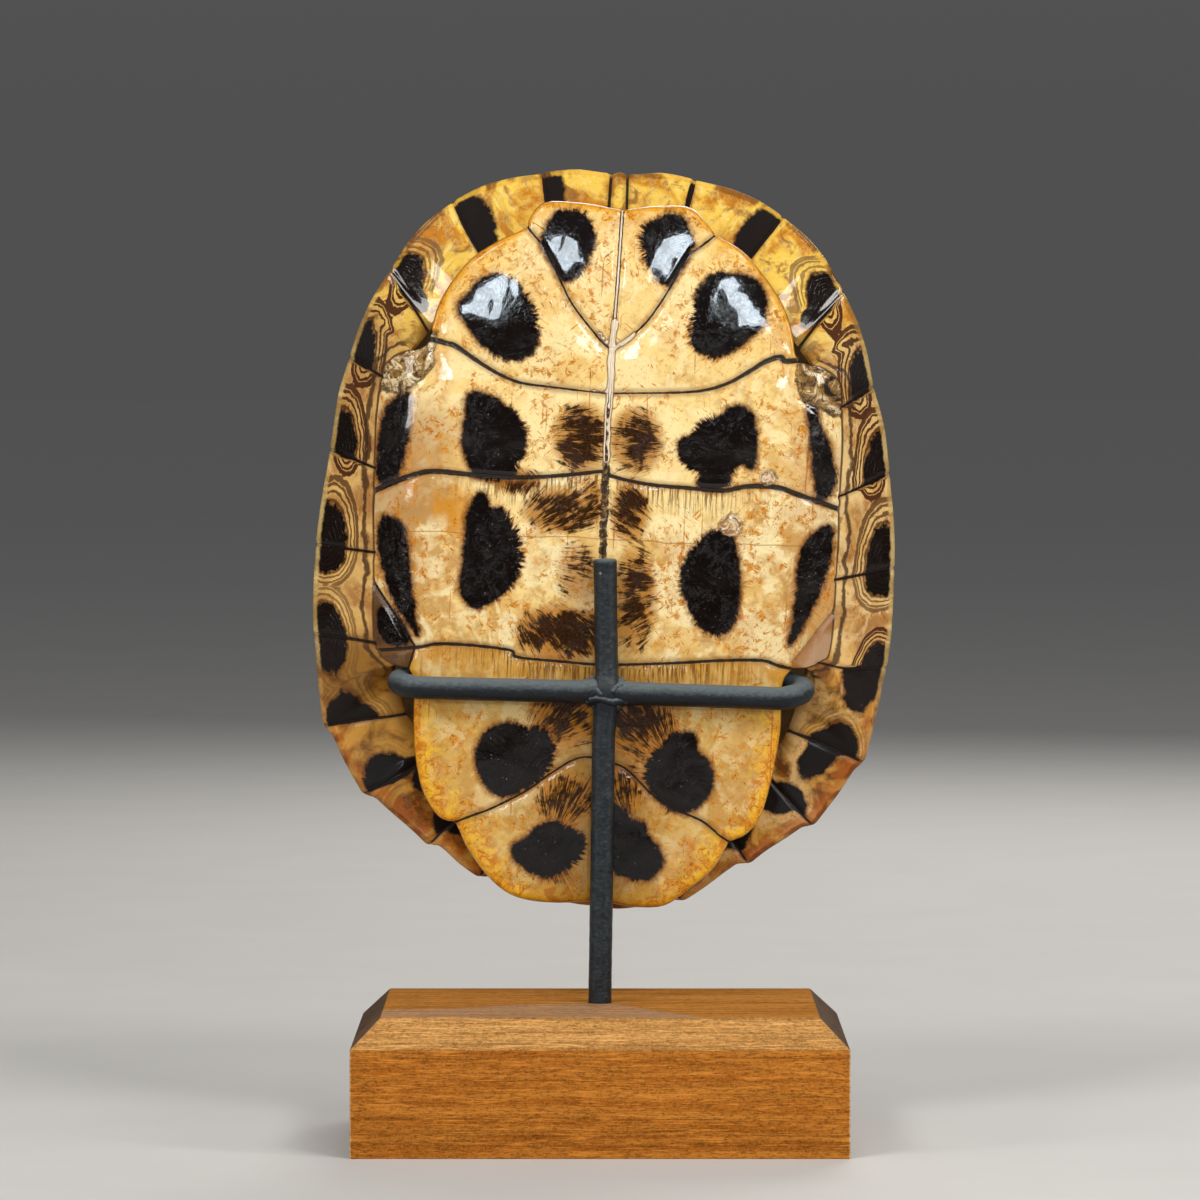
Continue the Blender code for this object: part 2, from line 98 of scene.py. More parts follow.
SHELL_MIDDLE = (0.0, 0.02, 0.17)
THROAT = (0.0, 0.0, 0.24)
COOL, WARM = (0.80, 0.91, 1.0), (1.0, 0.97, 0.92)
soft_light("left_box", (-0.24, -1.25, 0.47), THROAT, (0.18, 0.15), 2.0, COOL)
soft_light("right_box", (0.28, -1.25, 0.46), THROAT, (0.16, 0.15), 1.8, COOL)
soft_light("above_left", (-0.75, -0.95, 1.35), SHELL_MIDDLE, (0.45, 0.5), 9.8, WARM)
soft_light("above_right", (0.75, -0.95, 1.35), SHELL_MIDDLE, (0.45, 0.5), 9.8, WARM)
soft_light("left", (-1.2, -0.75, 0.50), SHELL_MIDDLE, (0.25, 0.5), 5.0, WARM)
soft_light("right", (1.2, -0.65, 0.55), SHELL_MIDDLE, (0.25, 0.5), 6.5, WARM)
soft_light("back", (0.3, 1.2, 0.9), SHELL_MIDDLE, (0.8, 0.6), 8.0, WARM)

world = bpy.data.worlds.new("pale_room")
bpy.context.scene.world = world
world.use_nodes = True
background = world.node_tree.nodes["Background"].inputs
background["Strength"].default_value = 0.16
bpy.context.scene.view_settings.view_transform = "Standard"

FLOOR_HALF = 30.0
floor_mesh = bpy.data.meshes.new("floor")
floor_mesh.from_pydata(
    [(x * FLOOR_HALF, y * FLOOR_HALF, 0.0) for x, y in ((-1, -1), (1, -1), (1, 1), (-1, 1))],
    [], [(0, 1, 2, 3)],
)
floor = add_object("floor", floor_mesh)

# %% [markdown]
# ## A way to write node trees as sums
# Shader and geometry trees are easier to read as arithmetic. `Wire` wraps one output
# socket, and its operators add Math nodes. Every other node comes from `Tree.node`.


# %% Wires, trees and finishes
class Wire:
    """One output socket of a tree. Python's operators on it add Math nodes."""

    def __init__(self, tree, socket):
        self.tree = tree
        self.socket = socket

    def math(self, operation, *others):
        return self.tree.node("ShaderNodeMath", {"operation": operation}, (self, *others))

    def __add__(self, other):
        return self.math("ADD", other)

    def __sub__(self, other):
        return self.math("SUBTRACT", other)

    def __rsub__(self, other):
        return self.tree.node("ShaderNodeMath", {"operation": "SUBTRACT"}, (other, self))

    def __mul__(self, other):
        return self.math("MULTIPLY", other)

    def __truediv__(self, other):
        return self.math("DIVIDE", other)

    def __pow__(self, other):
        return self.math("POWER", other)

    def __abs__(self):
        return self.math("ABSOLUTE")

    def least(self, other):
        return self.math("MINIMUM", other)

    def most(self, other):
        return self.math("MAXIMUM", other)

    __radd__ = __add__
    __rmul__ = __mul__


class Tree:
    """Adds nodes to a node tree, shader or geometry."""

    def __init__(self, tree):
        self.tree = tree

    def node(self, kind, settings=None, values=(), out=0):
        """A node: its settings first, then the values or wires of its sockets."""
        made = self.tree.nodes.new(kind)
        for name, value in (settings or {}).items():
            setattr(made, name, value)
        for key, value in values.items() if isinstance(values, dict) else enumerate(values):
            if isinstance(value, Wire):
                self.tree.links.new(value.socket, made.inputs[key])
            elif value is not None:
                made.inputs[key].default_value = value
        return Wire(self, made.outputs[out])

    def vector(self, operation, first, second):
        return self.node("ShaderNodeVectorMath", {"operation": operation}, (first, second))

    def part(self, vector, axis):
        return self.node("ShaderNodeSeparateXYZ", values=(vector,), out=axis)

    def step(self, value, low, high):
        """0 before low and 1 after high, with a smooth rise. It falls where low is more."""
        return self.node(
            "ShaderNodeMapRange", {"interpolation_type": "SMOOTHSTEP"}, (value, low, high, 0.0, 1.0)
        )

    def mix(self, amount, first, second):
        """The first colour where the amount is 0, and the second where it is 1."""
        first, second = ((*c, 1.0) if isinstance(c, tuple) else c for c in (first, second))
        values = {0: amount, 6: first, 7: second}
        return self.node("ShaderNodeMix", {"data_type": "RGBA"}, values, out=2)


class Finish(Tree):
    """A material whose colour, roughness and relief are mixed from nodes."""

    def __init__(self, name, **constants):
        self.material = bpy.data.materials.new(name)
        self.material.use_nodes = True
        super().__init__(self.material.node_tree)
        self.shader = self.tree.nodes["Principled BSDF"]
        for socket, value in constants.items():
            self.shader.inputs[socket.replace("_", " ")].default_value = value

    def attribute(self, name, out="Fac"):
        return self.node("ShaderNodeAttribute", {"attribute_name": name}, out=out)

    def place(self):
        """The point's place on the piece, in millimetres."""
        where = self.node("ShaderNodeTexCoord", out="Object")
        return self.vector("MULTIPLY", where, (1000.0,) * 3)

    def noise(self, where, scale, detail=2.0, roughness=0.5, distortion=0.0):
        values = {
            "Vector": where, "Scale": scale, "Detail": detail, "Roughness": roughness,
            "Distortion": distortion,
        }
        return self.node("ShaderNodeTexNoise", values=values)

    def spots(self, where, scale):
        """The distance to the nearest of many scattered points."""
        return self.node("ShaderNodeTexVoronoi", values={"Vector": where, "Scale": scale})

    def stretch(self, where, factors):
        return self.vector("MULTIPLY", where, factors)

    def lay(self, amount, colour):
        """Lays a colour over the ground; the amount says where and how strongly."""
        self.ground = self.mix(amount, self.ground, colour)

    def tools(self):
        """What every recipe calls most, for short names."""
        return self.step, self.noise, self.mix, self.lay

    def done(self, roughness, height, depth=MM, **others):
        """Links the ground, the roughness and a relief whose height of 1 is depth metres."""
        bump = self.node("ShaderNodeBump", values={"Distance": depth, "Height": height})
        sockets = {"Base Color": self.ground, "Roughness": roughness, "Normal": bump}
        sockets.update({name.replace("_", " "): wire for name, wire in others.items()})
        for name, wire in sockets.items():
            if isinstance(wire, Wire):
                self.tree.links.new(wire.socket, self.shader.inputs[name])
            else:
                self.shader.inputs[name].default_value = wire
        print("finish", self.material.name, "has", len(self.tree.nodes), "nodes")
        return self.material


# Varnish in two layers: a slightly uneven one under a thin smooth one
VARNISH = {"IOR": 1.34, "Coat_Weight": 0.35, "Coat_IOR": 1.45, "Coat_Roughness": 0.03}


def floor_finish():
    """Pale studio paper, with a faint grain."""
    finish = Finish("pale_floor")
    grain = finish.noise(finish.place(), 0.02, 3.0)
    finish.ground = finish.mix(grain, (0.58, 0.57, 0.555), (0.63, 0.62, 0.605))
    return finish.done(0.75, grain, depth=0.2 * MM)


floor.data.materials.append(floor_finish())

# The room is darker low down, where it meets the far floor, so that no horizon shows
room = Tree(world.node_tree)
direction = room.node("ShaderNodeTexCoord", out="Generated")
height = room.part(direction, "Z")
colour = room.mix(room.step(height, 0.03, 0.25), (0.50, 0.50, 0.50), (0.80, 0.81, 0.83))
world.node_tree.links.new(colour.socket, background["Color"])

# %% [markdown]
# ## The shell's form
# A shell grows outward from each scute, and its outline is made of named bones and scutes.
# Its shape therefore comes from curves: the rim with its 24 marginal scutes, the outline
# of the plastron, and heights along both. The same values shaped the solid model. Here the
# net between them is much finer.

# %% The curves of the shell, in millimetres
SHELL_PLACE = np.array((1.8, 3.6, 163.1))
SHELL_ROLL = math.radians(2.3)
MARGINALS = 24
FINE = 30
AROUND = MARGINALS * FINE
RINGS = AROUND // 8
COARSE = 3

FRONT_MIDDLE = (-0.6, 108.3)
REAR_MIDDLE = (1.0, -99.8)
RIGHT_SEAMS = [
    (20.9, 107.4), (46.4, 97.9), (64.5, 77.3), (74.2, 50.6), (79.6, 26.3), (82.1, -0.6),
    (80.8, -29.0), (74.2, -55.6), (60.6, -73.3), (42.8, -84.6), (24.5, -96.0),
]
LEFT_SEAMS = [
    (-22.3, 107.6), (-47.6, 98.4), (-64.9, 78.1), (-75.3, 53.0), (-79.7, 26.7), (-82.6, -0.5),
    (-82.1, -26.0), (-77.0, -51.6), (-64.8, -69.6), (-46.2, -83.0), (-31.5, -91.4),
]
RIM_SEAMS = np.array([FRONT_MIDDLE, *RIGHT_SEAMS, REAR_MIDDLE, *reversed(LEFT_SEAMS)])
RIM_HEIGHT = [27.0, 27.5, 28.5, 28.0, 26.0, 24.0, 23.0, 22.0, 19.5, 17.0, 15.5, 15.0, 17.0]
LIP_INSET = [21.0, 21.0, 20.5, 20.0, 19.0, 17.0, 17.0, 17.0, 21.0, 21.0, 20.0, 19.0, 17.5]
LIP_HEIGHT = [25.0, 25.0, 24.0, 17.5, 8.5, 8.0, 8.0, 8.0, 16.5, 20.0, 21.0, 21.5, 22.0]
TOOTH = [0.4, 0.2, 0.2, 0.2, 0.2, 0.2, 0.2, 0.4, 1.6, 2.0, 2.0, 1.8, 0.8]
DOME_POWER = [2.3, 2.3, 2.35, 2.5, 2.65, 2.75, 2.8, 2.75, 2.6, 2.45, 2.4, 2.35, 2.3]
APEX = np.array((-0.3, 4.0))
APEX_HEIGHT = 82.0
KEEL_HEIGHT, KEEL_WIDTH = 1.2, 6.0
DOME_SPREAD = 0.9
RIM_EDGE = 1.1
RIM_DEPTH = 0.7 * RIM_EDGE
TOOTH_BACK, NOTCH_SPAN = 0.16, 0.25
SHELL_WALL = 3.2
POCKET_INSET, POCKET_WALL = 9.0, 5.0


def catmull(a, b, c, d, x):
    """The smooth curve from b to c, which a and d come before and after."""
    return 0.5 * (
        2.0 * b + (c - a) * x + (2.0 * a - 5.0 * b + 4.0 * c - d) * x * x
        + (3.0 * b - a - 3.0 * c + d) * x * x * x
    )


def unit(vectors):
    return vectors / np.linalg.norm(vectors, axis=-1, keepdims=True)


def along_side(q):
    """Marginals from the front middle, counted down either side."""
    return np.minimum(q % MARGINALS, MARGINALS - q % MARGINALS)


def rim_line(q):
    """The rim without its teeth, at q marginals from the front middle."""
    first = np.floor(q).astype(int)
    four = [RIM_SEAMS[(first + shift) % MARGINALS] for shift in (-1, 0, 1, 2)]
    return catmull(*four, (q - first)[:, None])


def side_value(values, q):
    """A value given for the 13 seams of a side, at q marginals from the front middle."""
    values = np.array(values)
    along = along_side(q)
    last = len(values) - 1
    first = np.minimum(np.floor(along).astype(int), last - 1)
    four = [values[abs(first - 1)], values[first], values[first + 1]]
    four.append(values[np.minimum(first + 2, last)])
    return catmull(*four, along - first)


CHORD_HALF = 0.05


def chord(line, q, half=CHORD_HALF):
    """From a little before a place on a line to a little after it."""
    return line(q + half) - line(q - half)


def inward(q):
    """The direction in plan from the rim to the inside."""
    along = chord(rim_line, q)
    return unit(np.stack([along[:, 1], -along[:, 0]], axis=1))


def tooth(q):
    """How far the rim stands out: each marginal's rear corner is a tooth."""
    along = along_side(q)
    past = along - np.floor(along)
    slope_back = np.clip(1.0 - past / TOOTH_BACK, 0.0, None)
    slope_up = np.clip((past - TOOTH_BACK) / (1.0 - TOOTH_BACK), 0.0, None)
    notch = np.clip(abs(MARGINALS / 2 - along) / NOTCH_SPAN, 0.0, 1.0)
    return side_value(TOOTH, q) * np.maximum(slope_back**2, slope_up**2) * notch


def rim(q):
    """The rim's outermost point in plan."""
    return rim_line(q) - inward(q) * tooth(q)[:, None]


def line_length(points):
    """The length along a line up to each of its points."""
    return np.concatenate([[0.0], np.cumsum(np.linalg.norm(np.diff(points, axis=0), axis=1))])


rim_samples = rim_line(np.linspace(0.0, MARGINALS, 20 * MARGINALS + 1))
print("rim length in mm:", round(float(line_length(rim_samples)[-1]), 1))

# %% [markdown]
# The plastron has a free lobe at each end. Between them a bridge on each side joins it to
# the marginals. `smooth_line` draws a curve through a few points and measures its length,
# so that any part of it can be looked up.

# %% The outline of the plastron
BRIDGE_START, BRIDGE_END = 3.5, 7.5
LIP_BLEND, LIP_RISE = 0.9, 0.5
LIP_DEPTH, BRIDGE_DEPTH = 1.0, 1.6
PLASTRON_CENTRE = np.array((-0.5, 0.0))
LOBE_THICKNESS, BRIDGE_WALL = 4.0, 2.8
EDGE_ROUND = 1.2
BRIDGE_FLAT_HALF, BRIDGE_RISE, BRIDGE_REACH = 49.0, 8.0, 15.8
GULAR_LIFT, GULAR_START, GULAR_SPAN = 2.6, 58.0, 40.0
EDGE_FALL, EDGE_FADE = 0.9, 5.0
SIDE_BOW, BOW_HALF, BOW_START, BOW_SPAN = 1.3, 44.0, 48.0, 30.0
FRONT_LOBE = [
    (-57.0, 55.5), (-53.2, 57.3), (-51.9, 60.8), (-50.3, 67.0), (-46.7, 74.3), (-41.0, 81.7),
    (-33.5, 87.3), (-27.0, 91.4), (-24.6, 95.4), (-20.5, 98.6), (-9.0, 98.4), (0.2, 97.7),
    (9.0, 98.4), (18.6, 98.6), (23.4, 95.6), (27.0, 92.0), (34.0, 87.4), (40.3, 80.9),
    (45.5, 73.8), (48.9, 67.2), (50.5, 61.2), (52.2, 57.6), (55.8, 55.8),
]
RIGHT_BRIDGE = [
    (55.8, 55.8), (61.4, 53.3), (64.2, 47.5), (64.8, 23.0), (64.8, -1.0), (64.0, -23.0),
    (61.6, -27.0), (57.2, -29.0),
]
HIND_LOBE = [
    (57.2, -29.0), (52.8, -30.6), (50.8, -35.0), (50.9, -45.0), (49.9, -54.6), (48.2, -64.7),
    (45.6, -72.8), (42.0, -77.0), (38.2, -79.2), (33.5, -86.6), (27.6, -92.0), (20.5, -97.4),
    (12.6, -98.3), (1.0, -97.3), (-10.0, -98.0), (-18.9, -97.4), (-25.0, -95.2),
    (-30.6, -90.3), (-36.0, -83.4), (-39.6, -77.2), (-44.6, -74.8), (-49.0, -67.9),
    (-51.4, -58.7), (-52.3, -48.9), (-52.5, -42.2), (-52.6, -37.6), (-54.2, -34.2),
    (-58.2, -32.9),
]
LEFT_BRIDGE = [
    (-58.2, -32.9), (-62.8, -29.8), (-64.6, -23.5), (-65.4, -1.0), (-66.2, 23.0),
    (-65.2, 47.3), (-62.0, 53.2), (-57.0, 55.5),
]


def smooth_line(points, closed=False, steps=8):
    """Many points along the smooth curve through a few."""
    knots = np.array(points, float)
    if closed:
        knots = np.concatenate([knots[-1:], knots, knots[:2]])
    else:
        knots = np.concatenate([2 * knots[:1] - knots[1:2], knots, 2 * knots[-1:] - knots[-2:-1]])
    part = np.linspace(0.0, 1.0, steps, endpoint=False)[:, None]
    runs = [catmull(*knots[first : first + 4], part) for first in range(len(knots) - 3)]
    return np.concatenate([*runs, knots[-2:-1]])


RUNS = [
    (-BRIDGE_START, BRIDGE_START, FRONT_LOBE),
    (BRIDGE_START, BRIDGE_END, RIGHT_BRIDGE),
    (BRIDGE_END, MARGINALS - BRIDGE_END, HIND_LOBE),
    (MARGINALS - BRIDGE_END, MARGINALS - BRIDGE_START, LEFT_BRIDGE),
    (MARGINALS - BRIDGE_START, MARGINALS + BRIDGE_START, FRONT_LOBE),
]


def outline(q):
    """The plastron's outline in plan, at q marginals from the front middle."""
    q = q % MARGINALS
    result = np.zeros((len(q), 2))
    for start, end, points in RUNS:
        inside = (start <= q) & (q <= end)
        fine = smooth_line(points, steps=32)
        length = line_length(fine)
        wanted = (q[inside] - start) / (end - start) * length[-1]
        for axis in (0, 1):
            result[inside, axis] = np.interp(wanted, length, fine[:, axis])
    return result


def outline_outward(q):
    """The direction in plan away from the plastron, at its outline."""
    along = chord(outline, q, 0.1)
    return unit(np.stack([-along[:, 1], along[:, 0]], axis=1))


def on_bridge(q):
    return (BRIDGE_START <= along_side(q)) & (along_side(q) <= BRIDGE_END)


def nearest_notch(q):
    """The nearest place where a bridge ends, on q's own side, and how far it is."""
    along = along_side(q)
    notch = np.where(abs(along - BRIDGE_START) < abs(along - BRIDGE_END), BRIDGE_START, BRIDGE_END)
    far = abs(along - notch)
    return np.where(q % MARGINALS < MARGINALS / 2, notch, MARGINALS - notch), far


def plastron_height(plan):
    """The plastron's face: flat, rising to the bridges and a little at the throat."""
    side = np.clip((abs(plan[:, 0]) - BRIDGE_FLAT_HALF) / BRIDGE_REACH, 0.0, None)
    throat = np.clip((plan[:, 1] - GULAR_START) / GULAR_SPAN, 0.0, None)
    return BRIDGE_RISE * side**1.7 + GULAR_LIFT * throat**2


print("outline points from", len(FRONT_LOBE) + len(HIND_LOBE), "lobe points")

# %% [markdown]
# ## The shell's faces
# Five kinds of face make the closed form: the carapace's dome, the marginals' undersides,
# the plastron's face, and the hollow's roof and floor. Each is a small function of the
# place round the rim (q) and the way inward, so the net's density can be chosen freely.


# %% Functions for each face of the shell
def lift(plan, height):
    """Points of the shell's frame (u, v, w) from plan points (u, w) and heights v."""
    return np.stack([plan[:, 0], height, plan[:, 1]], axis=1)


def lip(q):
    """The inner edge of the marginals' undersides in plan; on a bridge, the outline."""
    notch, far = nearest_notch(q)
    free = rim_line(q) + inward(q) * side_value(LIP_INSET, q)[:, None]
    blend = np.clip(1.0 - far / LIP_BLEND, 0.0, None)[:, None]
    blend = blend * blend * (3.0 - 2.0 * blend)
    free = free + (outline(notch) - free) * blend
    return np.where(on_bridge(q)[:, None], outline(q), free)


def lip_height(q):
    notch, far = nearest_notch(q)
    blend = np.clip(1.0 - far / LIP_RISE, 0.0, None)
    free = (1.0 - blend) * side_value(LIP_HEIGHT, q) + blend * plastron_height(outline(notch))
    return np.where(on_bridge(q), plastron_height(outline(q)), free)


def dome_out(t):
    return np.sin(0.5 * math.pi * t) ** DOME_SPREAD


def carapace_outside(q, t):
    out = dome_out(t)
    edge = rim(q) + inward(q) * RIM_DEPTH
    plan = APEX + (edge - APEX) * out[:, None]
    low = side_value(RIM_HEIGHT, q) + RIM_EDGE
    height = APEX_HEIGHT + (low - APEX_HEIGHT) * out ** side_value(DOME_POWER, q)
    ridge = np.exp(-(((plan[:, 0] - APEX[0]) / KEEL_WIDTH) ** 2))
    return lift(plan, height + KEEL_HEIGHT * ridge * (1.0 - out))


def carapace_inside(q, t):
    out = dome_out(t)
    power = side_value(DOME_POWER, q)
    pocket = rim_line(q) + inward(q) * POCKET_INSET
    plan = APEX + (pocket - APEX) * out[:, None]
    span = np.linalg.norm(rim_line(q) - APEX, axis=1)
    pocket_out = np.linalg.norm(pocket - APEX, axis=1) / span
    low = APEX_HEIGHT + (side_value(RIM_HEIGHT, q) - APEX_HEIGHT) * pocket_out**power - POCKET_WALL
    high = APEX_HEIGHT - SHELL_WALL
    return lift(plan, high + (low - high) * out**power)


def rim_edge(q, turn):
    """The rounded rim, from the carapace at turn = 90 degrees to the underside at -90."""
    plan = rim(q) + inward(q) * (RIM_DEPTH * (1.0 - math.cos(turn)))
    return lift(plan, side_value(RIM_HEIGHT, q) + RIM_EDGE * math.sin(turn))


def underside(q, part):
    start = rim(q) + inward(q) * RIM_DEPTH
    start_height = side_value(RIM_HEIGHT, q) - RIM_EDGE
    plan = start + (lip(q) - start) * part
    return lift(plan, start_height + (lip_height(q) - start_height) * part)


def lip_inside(q):
    bridge = lip(q) - outline_outward(q) * BRIDGE_DEPTH
    plan = np.where(on_bridge(q)[:, None], bridge, lip(q) - inward(q) * LIP_DEPTH)
    return lift(plan, lip_height(q) + BRIDGE_WALL)


def edge_roundness(q):
    """How far a free edge's rounding stands out; nothing at a notch."""
    return EDGE_ROUND * np.clip(nearest_notch(q)[1], 0.0, 1.0)


def bow(q, t):
    """How far the lobes curve back towards their free edges, most at the throat's sides."""
    edge = outline(q)
    plan = PLASTRON_CENTRE + (edge - PLASTRON_CENTRE) * t[:, None]
    from_edge = np.linalg.norm(edge - plan, axis=1)
    free = np.clip(nearest_notch(q)[1], 0.0, 1.0) * ~on_bridge(q)
    throat = np.clip((plan[:, 1] - BOW_START) / BOW_SPAN, 0.0, 1.0)
    fall = EDGE_FALL * free * np.exp(-from_edge / EDGE_FADE)
    return fall + SIDE_BOW * throat * (plan[:, 0] / BOW_HALF) ** 2


def plastron_edge(q):
    free = outline(q) - outline_outward(q) * edge_roundness(q)[:, None]
    return np.where(on_bridge(q)[:, None], outline(q), free)


def plastron_outside(q, t):
    plan = PLASTRON_CENTRE + (plastron_edge(q) - PLASTRON_CENTRE) * t[:, None]
    return lift(plan, plastron_height(plan) + bow(q, t))


def plastron_inside(q, t):
    face = plastron_outside(q, t)
    face[:, 1] += BRIDGE_WALL + (LOBE_THICKNESS - BRIDGE_WALL) * t**4
    return face


# %% [markdown]
# ## One closed net
# A round patch made of rings has a bad pole in its middle. `square_net` lays the rings out
# as nested squares instead, so all its faces are four-sided. The patches are then joined
# by strips: round the rim, along the free lobes and down into the leg holes.


# %% Build the net
def square_net(rings):
    """Rings of 8k points laid out as nested squares: q, t, faces."""
    ring = np.concatenate([np.full(max(1, 8 * k), k) for k in range(rings + 1)])
    step = np.concatenate([np.arange(max(1, 8 * k)) for k in range(rings + 1)])
    side = step - ring
    cases = [side < 0, side < 2 * ring, side < 4 * ring, side < 6 * ring]
    i = np.select(cases, [step, ring, 3 * ring - side, -ring], side - 7 * ring)
    j = np.select(cases, [ring, ring - side, -ring, side - 5 * ring], ring)
    cell = np.zeros((2 * rings + 1, 2 * rings + 1), int)
    cell[i + rings, j + rings] = np.arange(len(ring))
    corners = [cell[:-1, :-1], cell[1:, :-1], cell[1:, 1:], cell[:-1, 1:]]
    quads = np.stack(corners, axis=-1).reshape(-1, 4)
    return MARGINALS * step / (8.0 * np.maximum(ring, 1)), ring / rings, quads


class Net:
    """Points with their place round the rim and their distance across the marginals."""

    def __init__(self):
        self.points, self.around, self.across = [], [], []
        self.count = 0
        self.faces, self.zones = [], []

    def add(self, points, q, across=0.0):
        first = self.count
        self.count += len(points)
        self.points.append(points)
        self.around.append(q)
        self.across.append(np.broadcast_to(across, q.shape))
        return np.arange(first, self.count)

    def patch(self, place, rings, zone, across=None):
        """A round patch; returns its edge. across gives each point's distance from the rim."""
        q, t, quads = square_net(rings)
        points = place(q, t)
        made = self.add(points, q, across(q, points) if across else 0.0)
        self.join(made[quads], zone)
        return made[-8 * rings :]

    def join(self, faces, zone):
        self.faces += faces.tolist()
        self.zones += [zone] * len(faces)

    def strip(self, ring_a, ring_b, zone, steps=None):
        """Faces between two closed rings of the same length, or over some steps."""
        steps = np.arange(len(ring_a)) if steps is None else steps
        after = (steps + 1) % len(ring_a)
        self.join(np.stack([ring_a[steps], ring_a[after], ring_b[after], ring_b[steps]], 1), zone)

    def widen(self, coarse, fine, zone):
        """Faces between a coarse ring and a ring with COARSE times its points."""
        a = np.arange(len(coarse))
        left, right = coarse, coarse[(a + 1) % len(coarse)]
        row = [fine[(a * COARSE + shift) % len(fine)] for shift in range(COARSE + 1)]
        self.join(np.stack([left, row[0], row[1]], 1), zone)
        self.join(np.stack([left, row[1], row[2], right], 1), zone)
        self.join(np.stack([right, row[2], row[3]], 1), zone)


PLASTRON, MARGINAL, CARAPACE, BONE = range(4)
UNDER_STEPS, RIM_TURNS, EDGE_STEPS = 16, 6, 5
INNER_PART = 0.965
NOTCH_CLEAR = 0.25
ring_q = np.arange(AROUND) / FINE
under_width = np.linalg.norm(lip(ring_q) - rim(ring_q), axis=1)


def rim_distance(q, points):
    """How far the carapace's points lie from the rim in plan, as a negative distance."""
    return -np.linalg.norm(points[:, [0, 2]] - rim(q), axis=1)


net = Net()
top_edge = net.patch(carapace_outside, RINGS, CARAPACE, rim_distance)
rows = [top_edge]
for turn in range(1, RIM_TURNS + 1):
    angle = math.pi * (0.5 - turn / RIM_TURNS)
    rows.append(net.add(rim_edge(ring_q, angle), ring_q, 0.0))
for part in np.arange(1, UNDER_STEPS + 1) / UNDER_STEPS:
    rows.append(net.add(underside(ring_q, part), ring_q, under_width * part))
for row_a, row_b in zip(rows, rows[1:]):
    net.strip(row_a, row_b, MARGINAL)
lip_edge = rows[-1]

inner_lip = net.add(lip_inside(ring_q), ring_q)
coarse_q = np.arange(AROUND // COARSE) * COARSE / FINE
roof_edge = net.patch(carapace_inside, RINGS // COARSE, BONE)
roof_points = carapace_inside(coarse_q, np.ones(len(coarse_q)))
middle = net.add((roof_points + lip_inside(coarse_q)) / 2.0, coarse_q)
net.strip(roof_edge, middle, BONE)
net.widen(middle, inner_lip, BONE)

# The plastron's face shares its points with the lip along the bridges
q, t, quads = square_net(RINGS)
face_made = net.add(plastron_outside(q, t), q)
face_edge = face_made[-AROUND:].copy()
bridge = on_bridge(ring_q)
replaced = np.arange(net.count)
replaced[face_edge[bridge]] = lip_edge[bridge]
face_edge = replaced[face_edge]
net.join(replaced[face_made[quads]], PLASTRON)

floor_fine = net.add(plastron_inside(ring_q, np.ones(AROUND)), ring_q)
floor_fine[bridge] = inner_lip[bridge]
floor_edge = net.patch(lambda q, t: plastron_inside(q, t * INNER_PART), RINGS // COARSE, BONE)
net.widen(floor_edge, floor_fine, BONE)

# The free edges of the lobes and of the lip, rounded, which meet at the four notches
notches = [BRIDGE_START, BRIDGE_END, MARGINALS - BRIDGE_END, MARGINALS - BRIDGE_START]
is_notch = np.isin(ring_q, notches)
clear = np.clip(nearest_notch(ring_q)[1] / NOTCH_CLEAR, 0.0, 1.0)[:, None]
headward = np.where(along_side(ring_q) < (BRIDGE_START + BRIDGE_END) / 2.0, 1.0, -1.0)
straight = np.stack([np.zeros(AROUND), np.zeros(AROUND), headward], axis=1)
free_steps = np.flatnonzero(~(bridge & np.roll(bridge, -1)))
points_now = np.concatenate(net.points)
shared = {}
for outer, inner, outward, zone in (
    (face_edge, floor_fine, outline_outward(ring_q), PLASTRON),
    (lip_edge, inner_lip, inward(ring_q), MARGINAL),
):
    direction = straight + (lift(outward, np.zeros(AROUND)) - straight) * clear
    direction = unit(direction) * edge_roundness(ring_q)[:, None]
    edge_rows = [outer]
    for turn in range(1, EDGE_STEPS):
        angle = math.pi * turn / EDGE_STEPS
        near, far = points_now[outer], points_now[inner]
        points = near + (far - near) * (0.5 - 0.5 * math.cos(angle)) + direction * math.sin(angle)
        row = net.add(points, ring_q, under_width if zone == MARGINAL else 0.0)
        row[is_notch] = shared.setdefault(turn, row)[is_notch]
        edge_rows.append(row)
    edge_rows.append(inner)
    for row_a, row_b in zip(edge_rows, edge_rows[1:]):
        net.strip(row_a, row_b, zone, free_steps)

print("net:", net.count, "points and", len(net.faces), "faces")

# %% [markdown]
# ## Where the scutes meet
# Every scute has its seams, and nearly every pattern on the shell follows them. So each
# point of the net stores its distance to the nearest seam. The sign changes from one scute
# to the next, which keeps the seam itself sharp between two points of the net. The shader
# and the carving both read these distances.

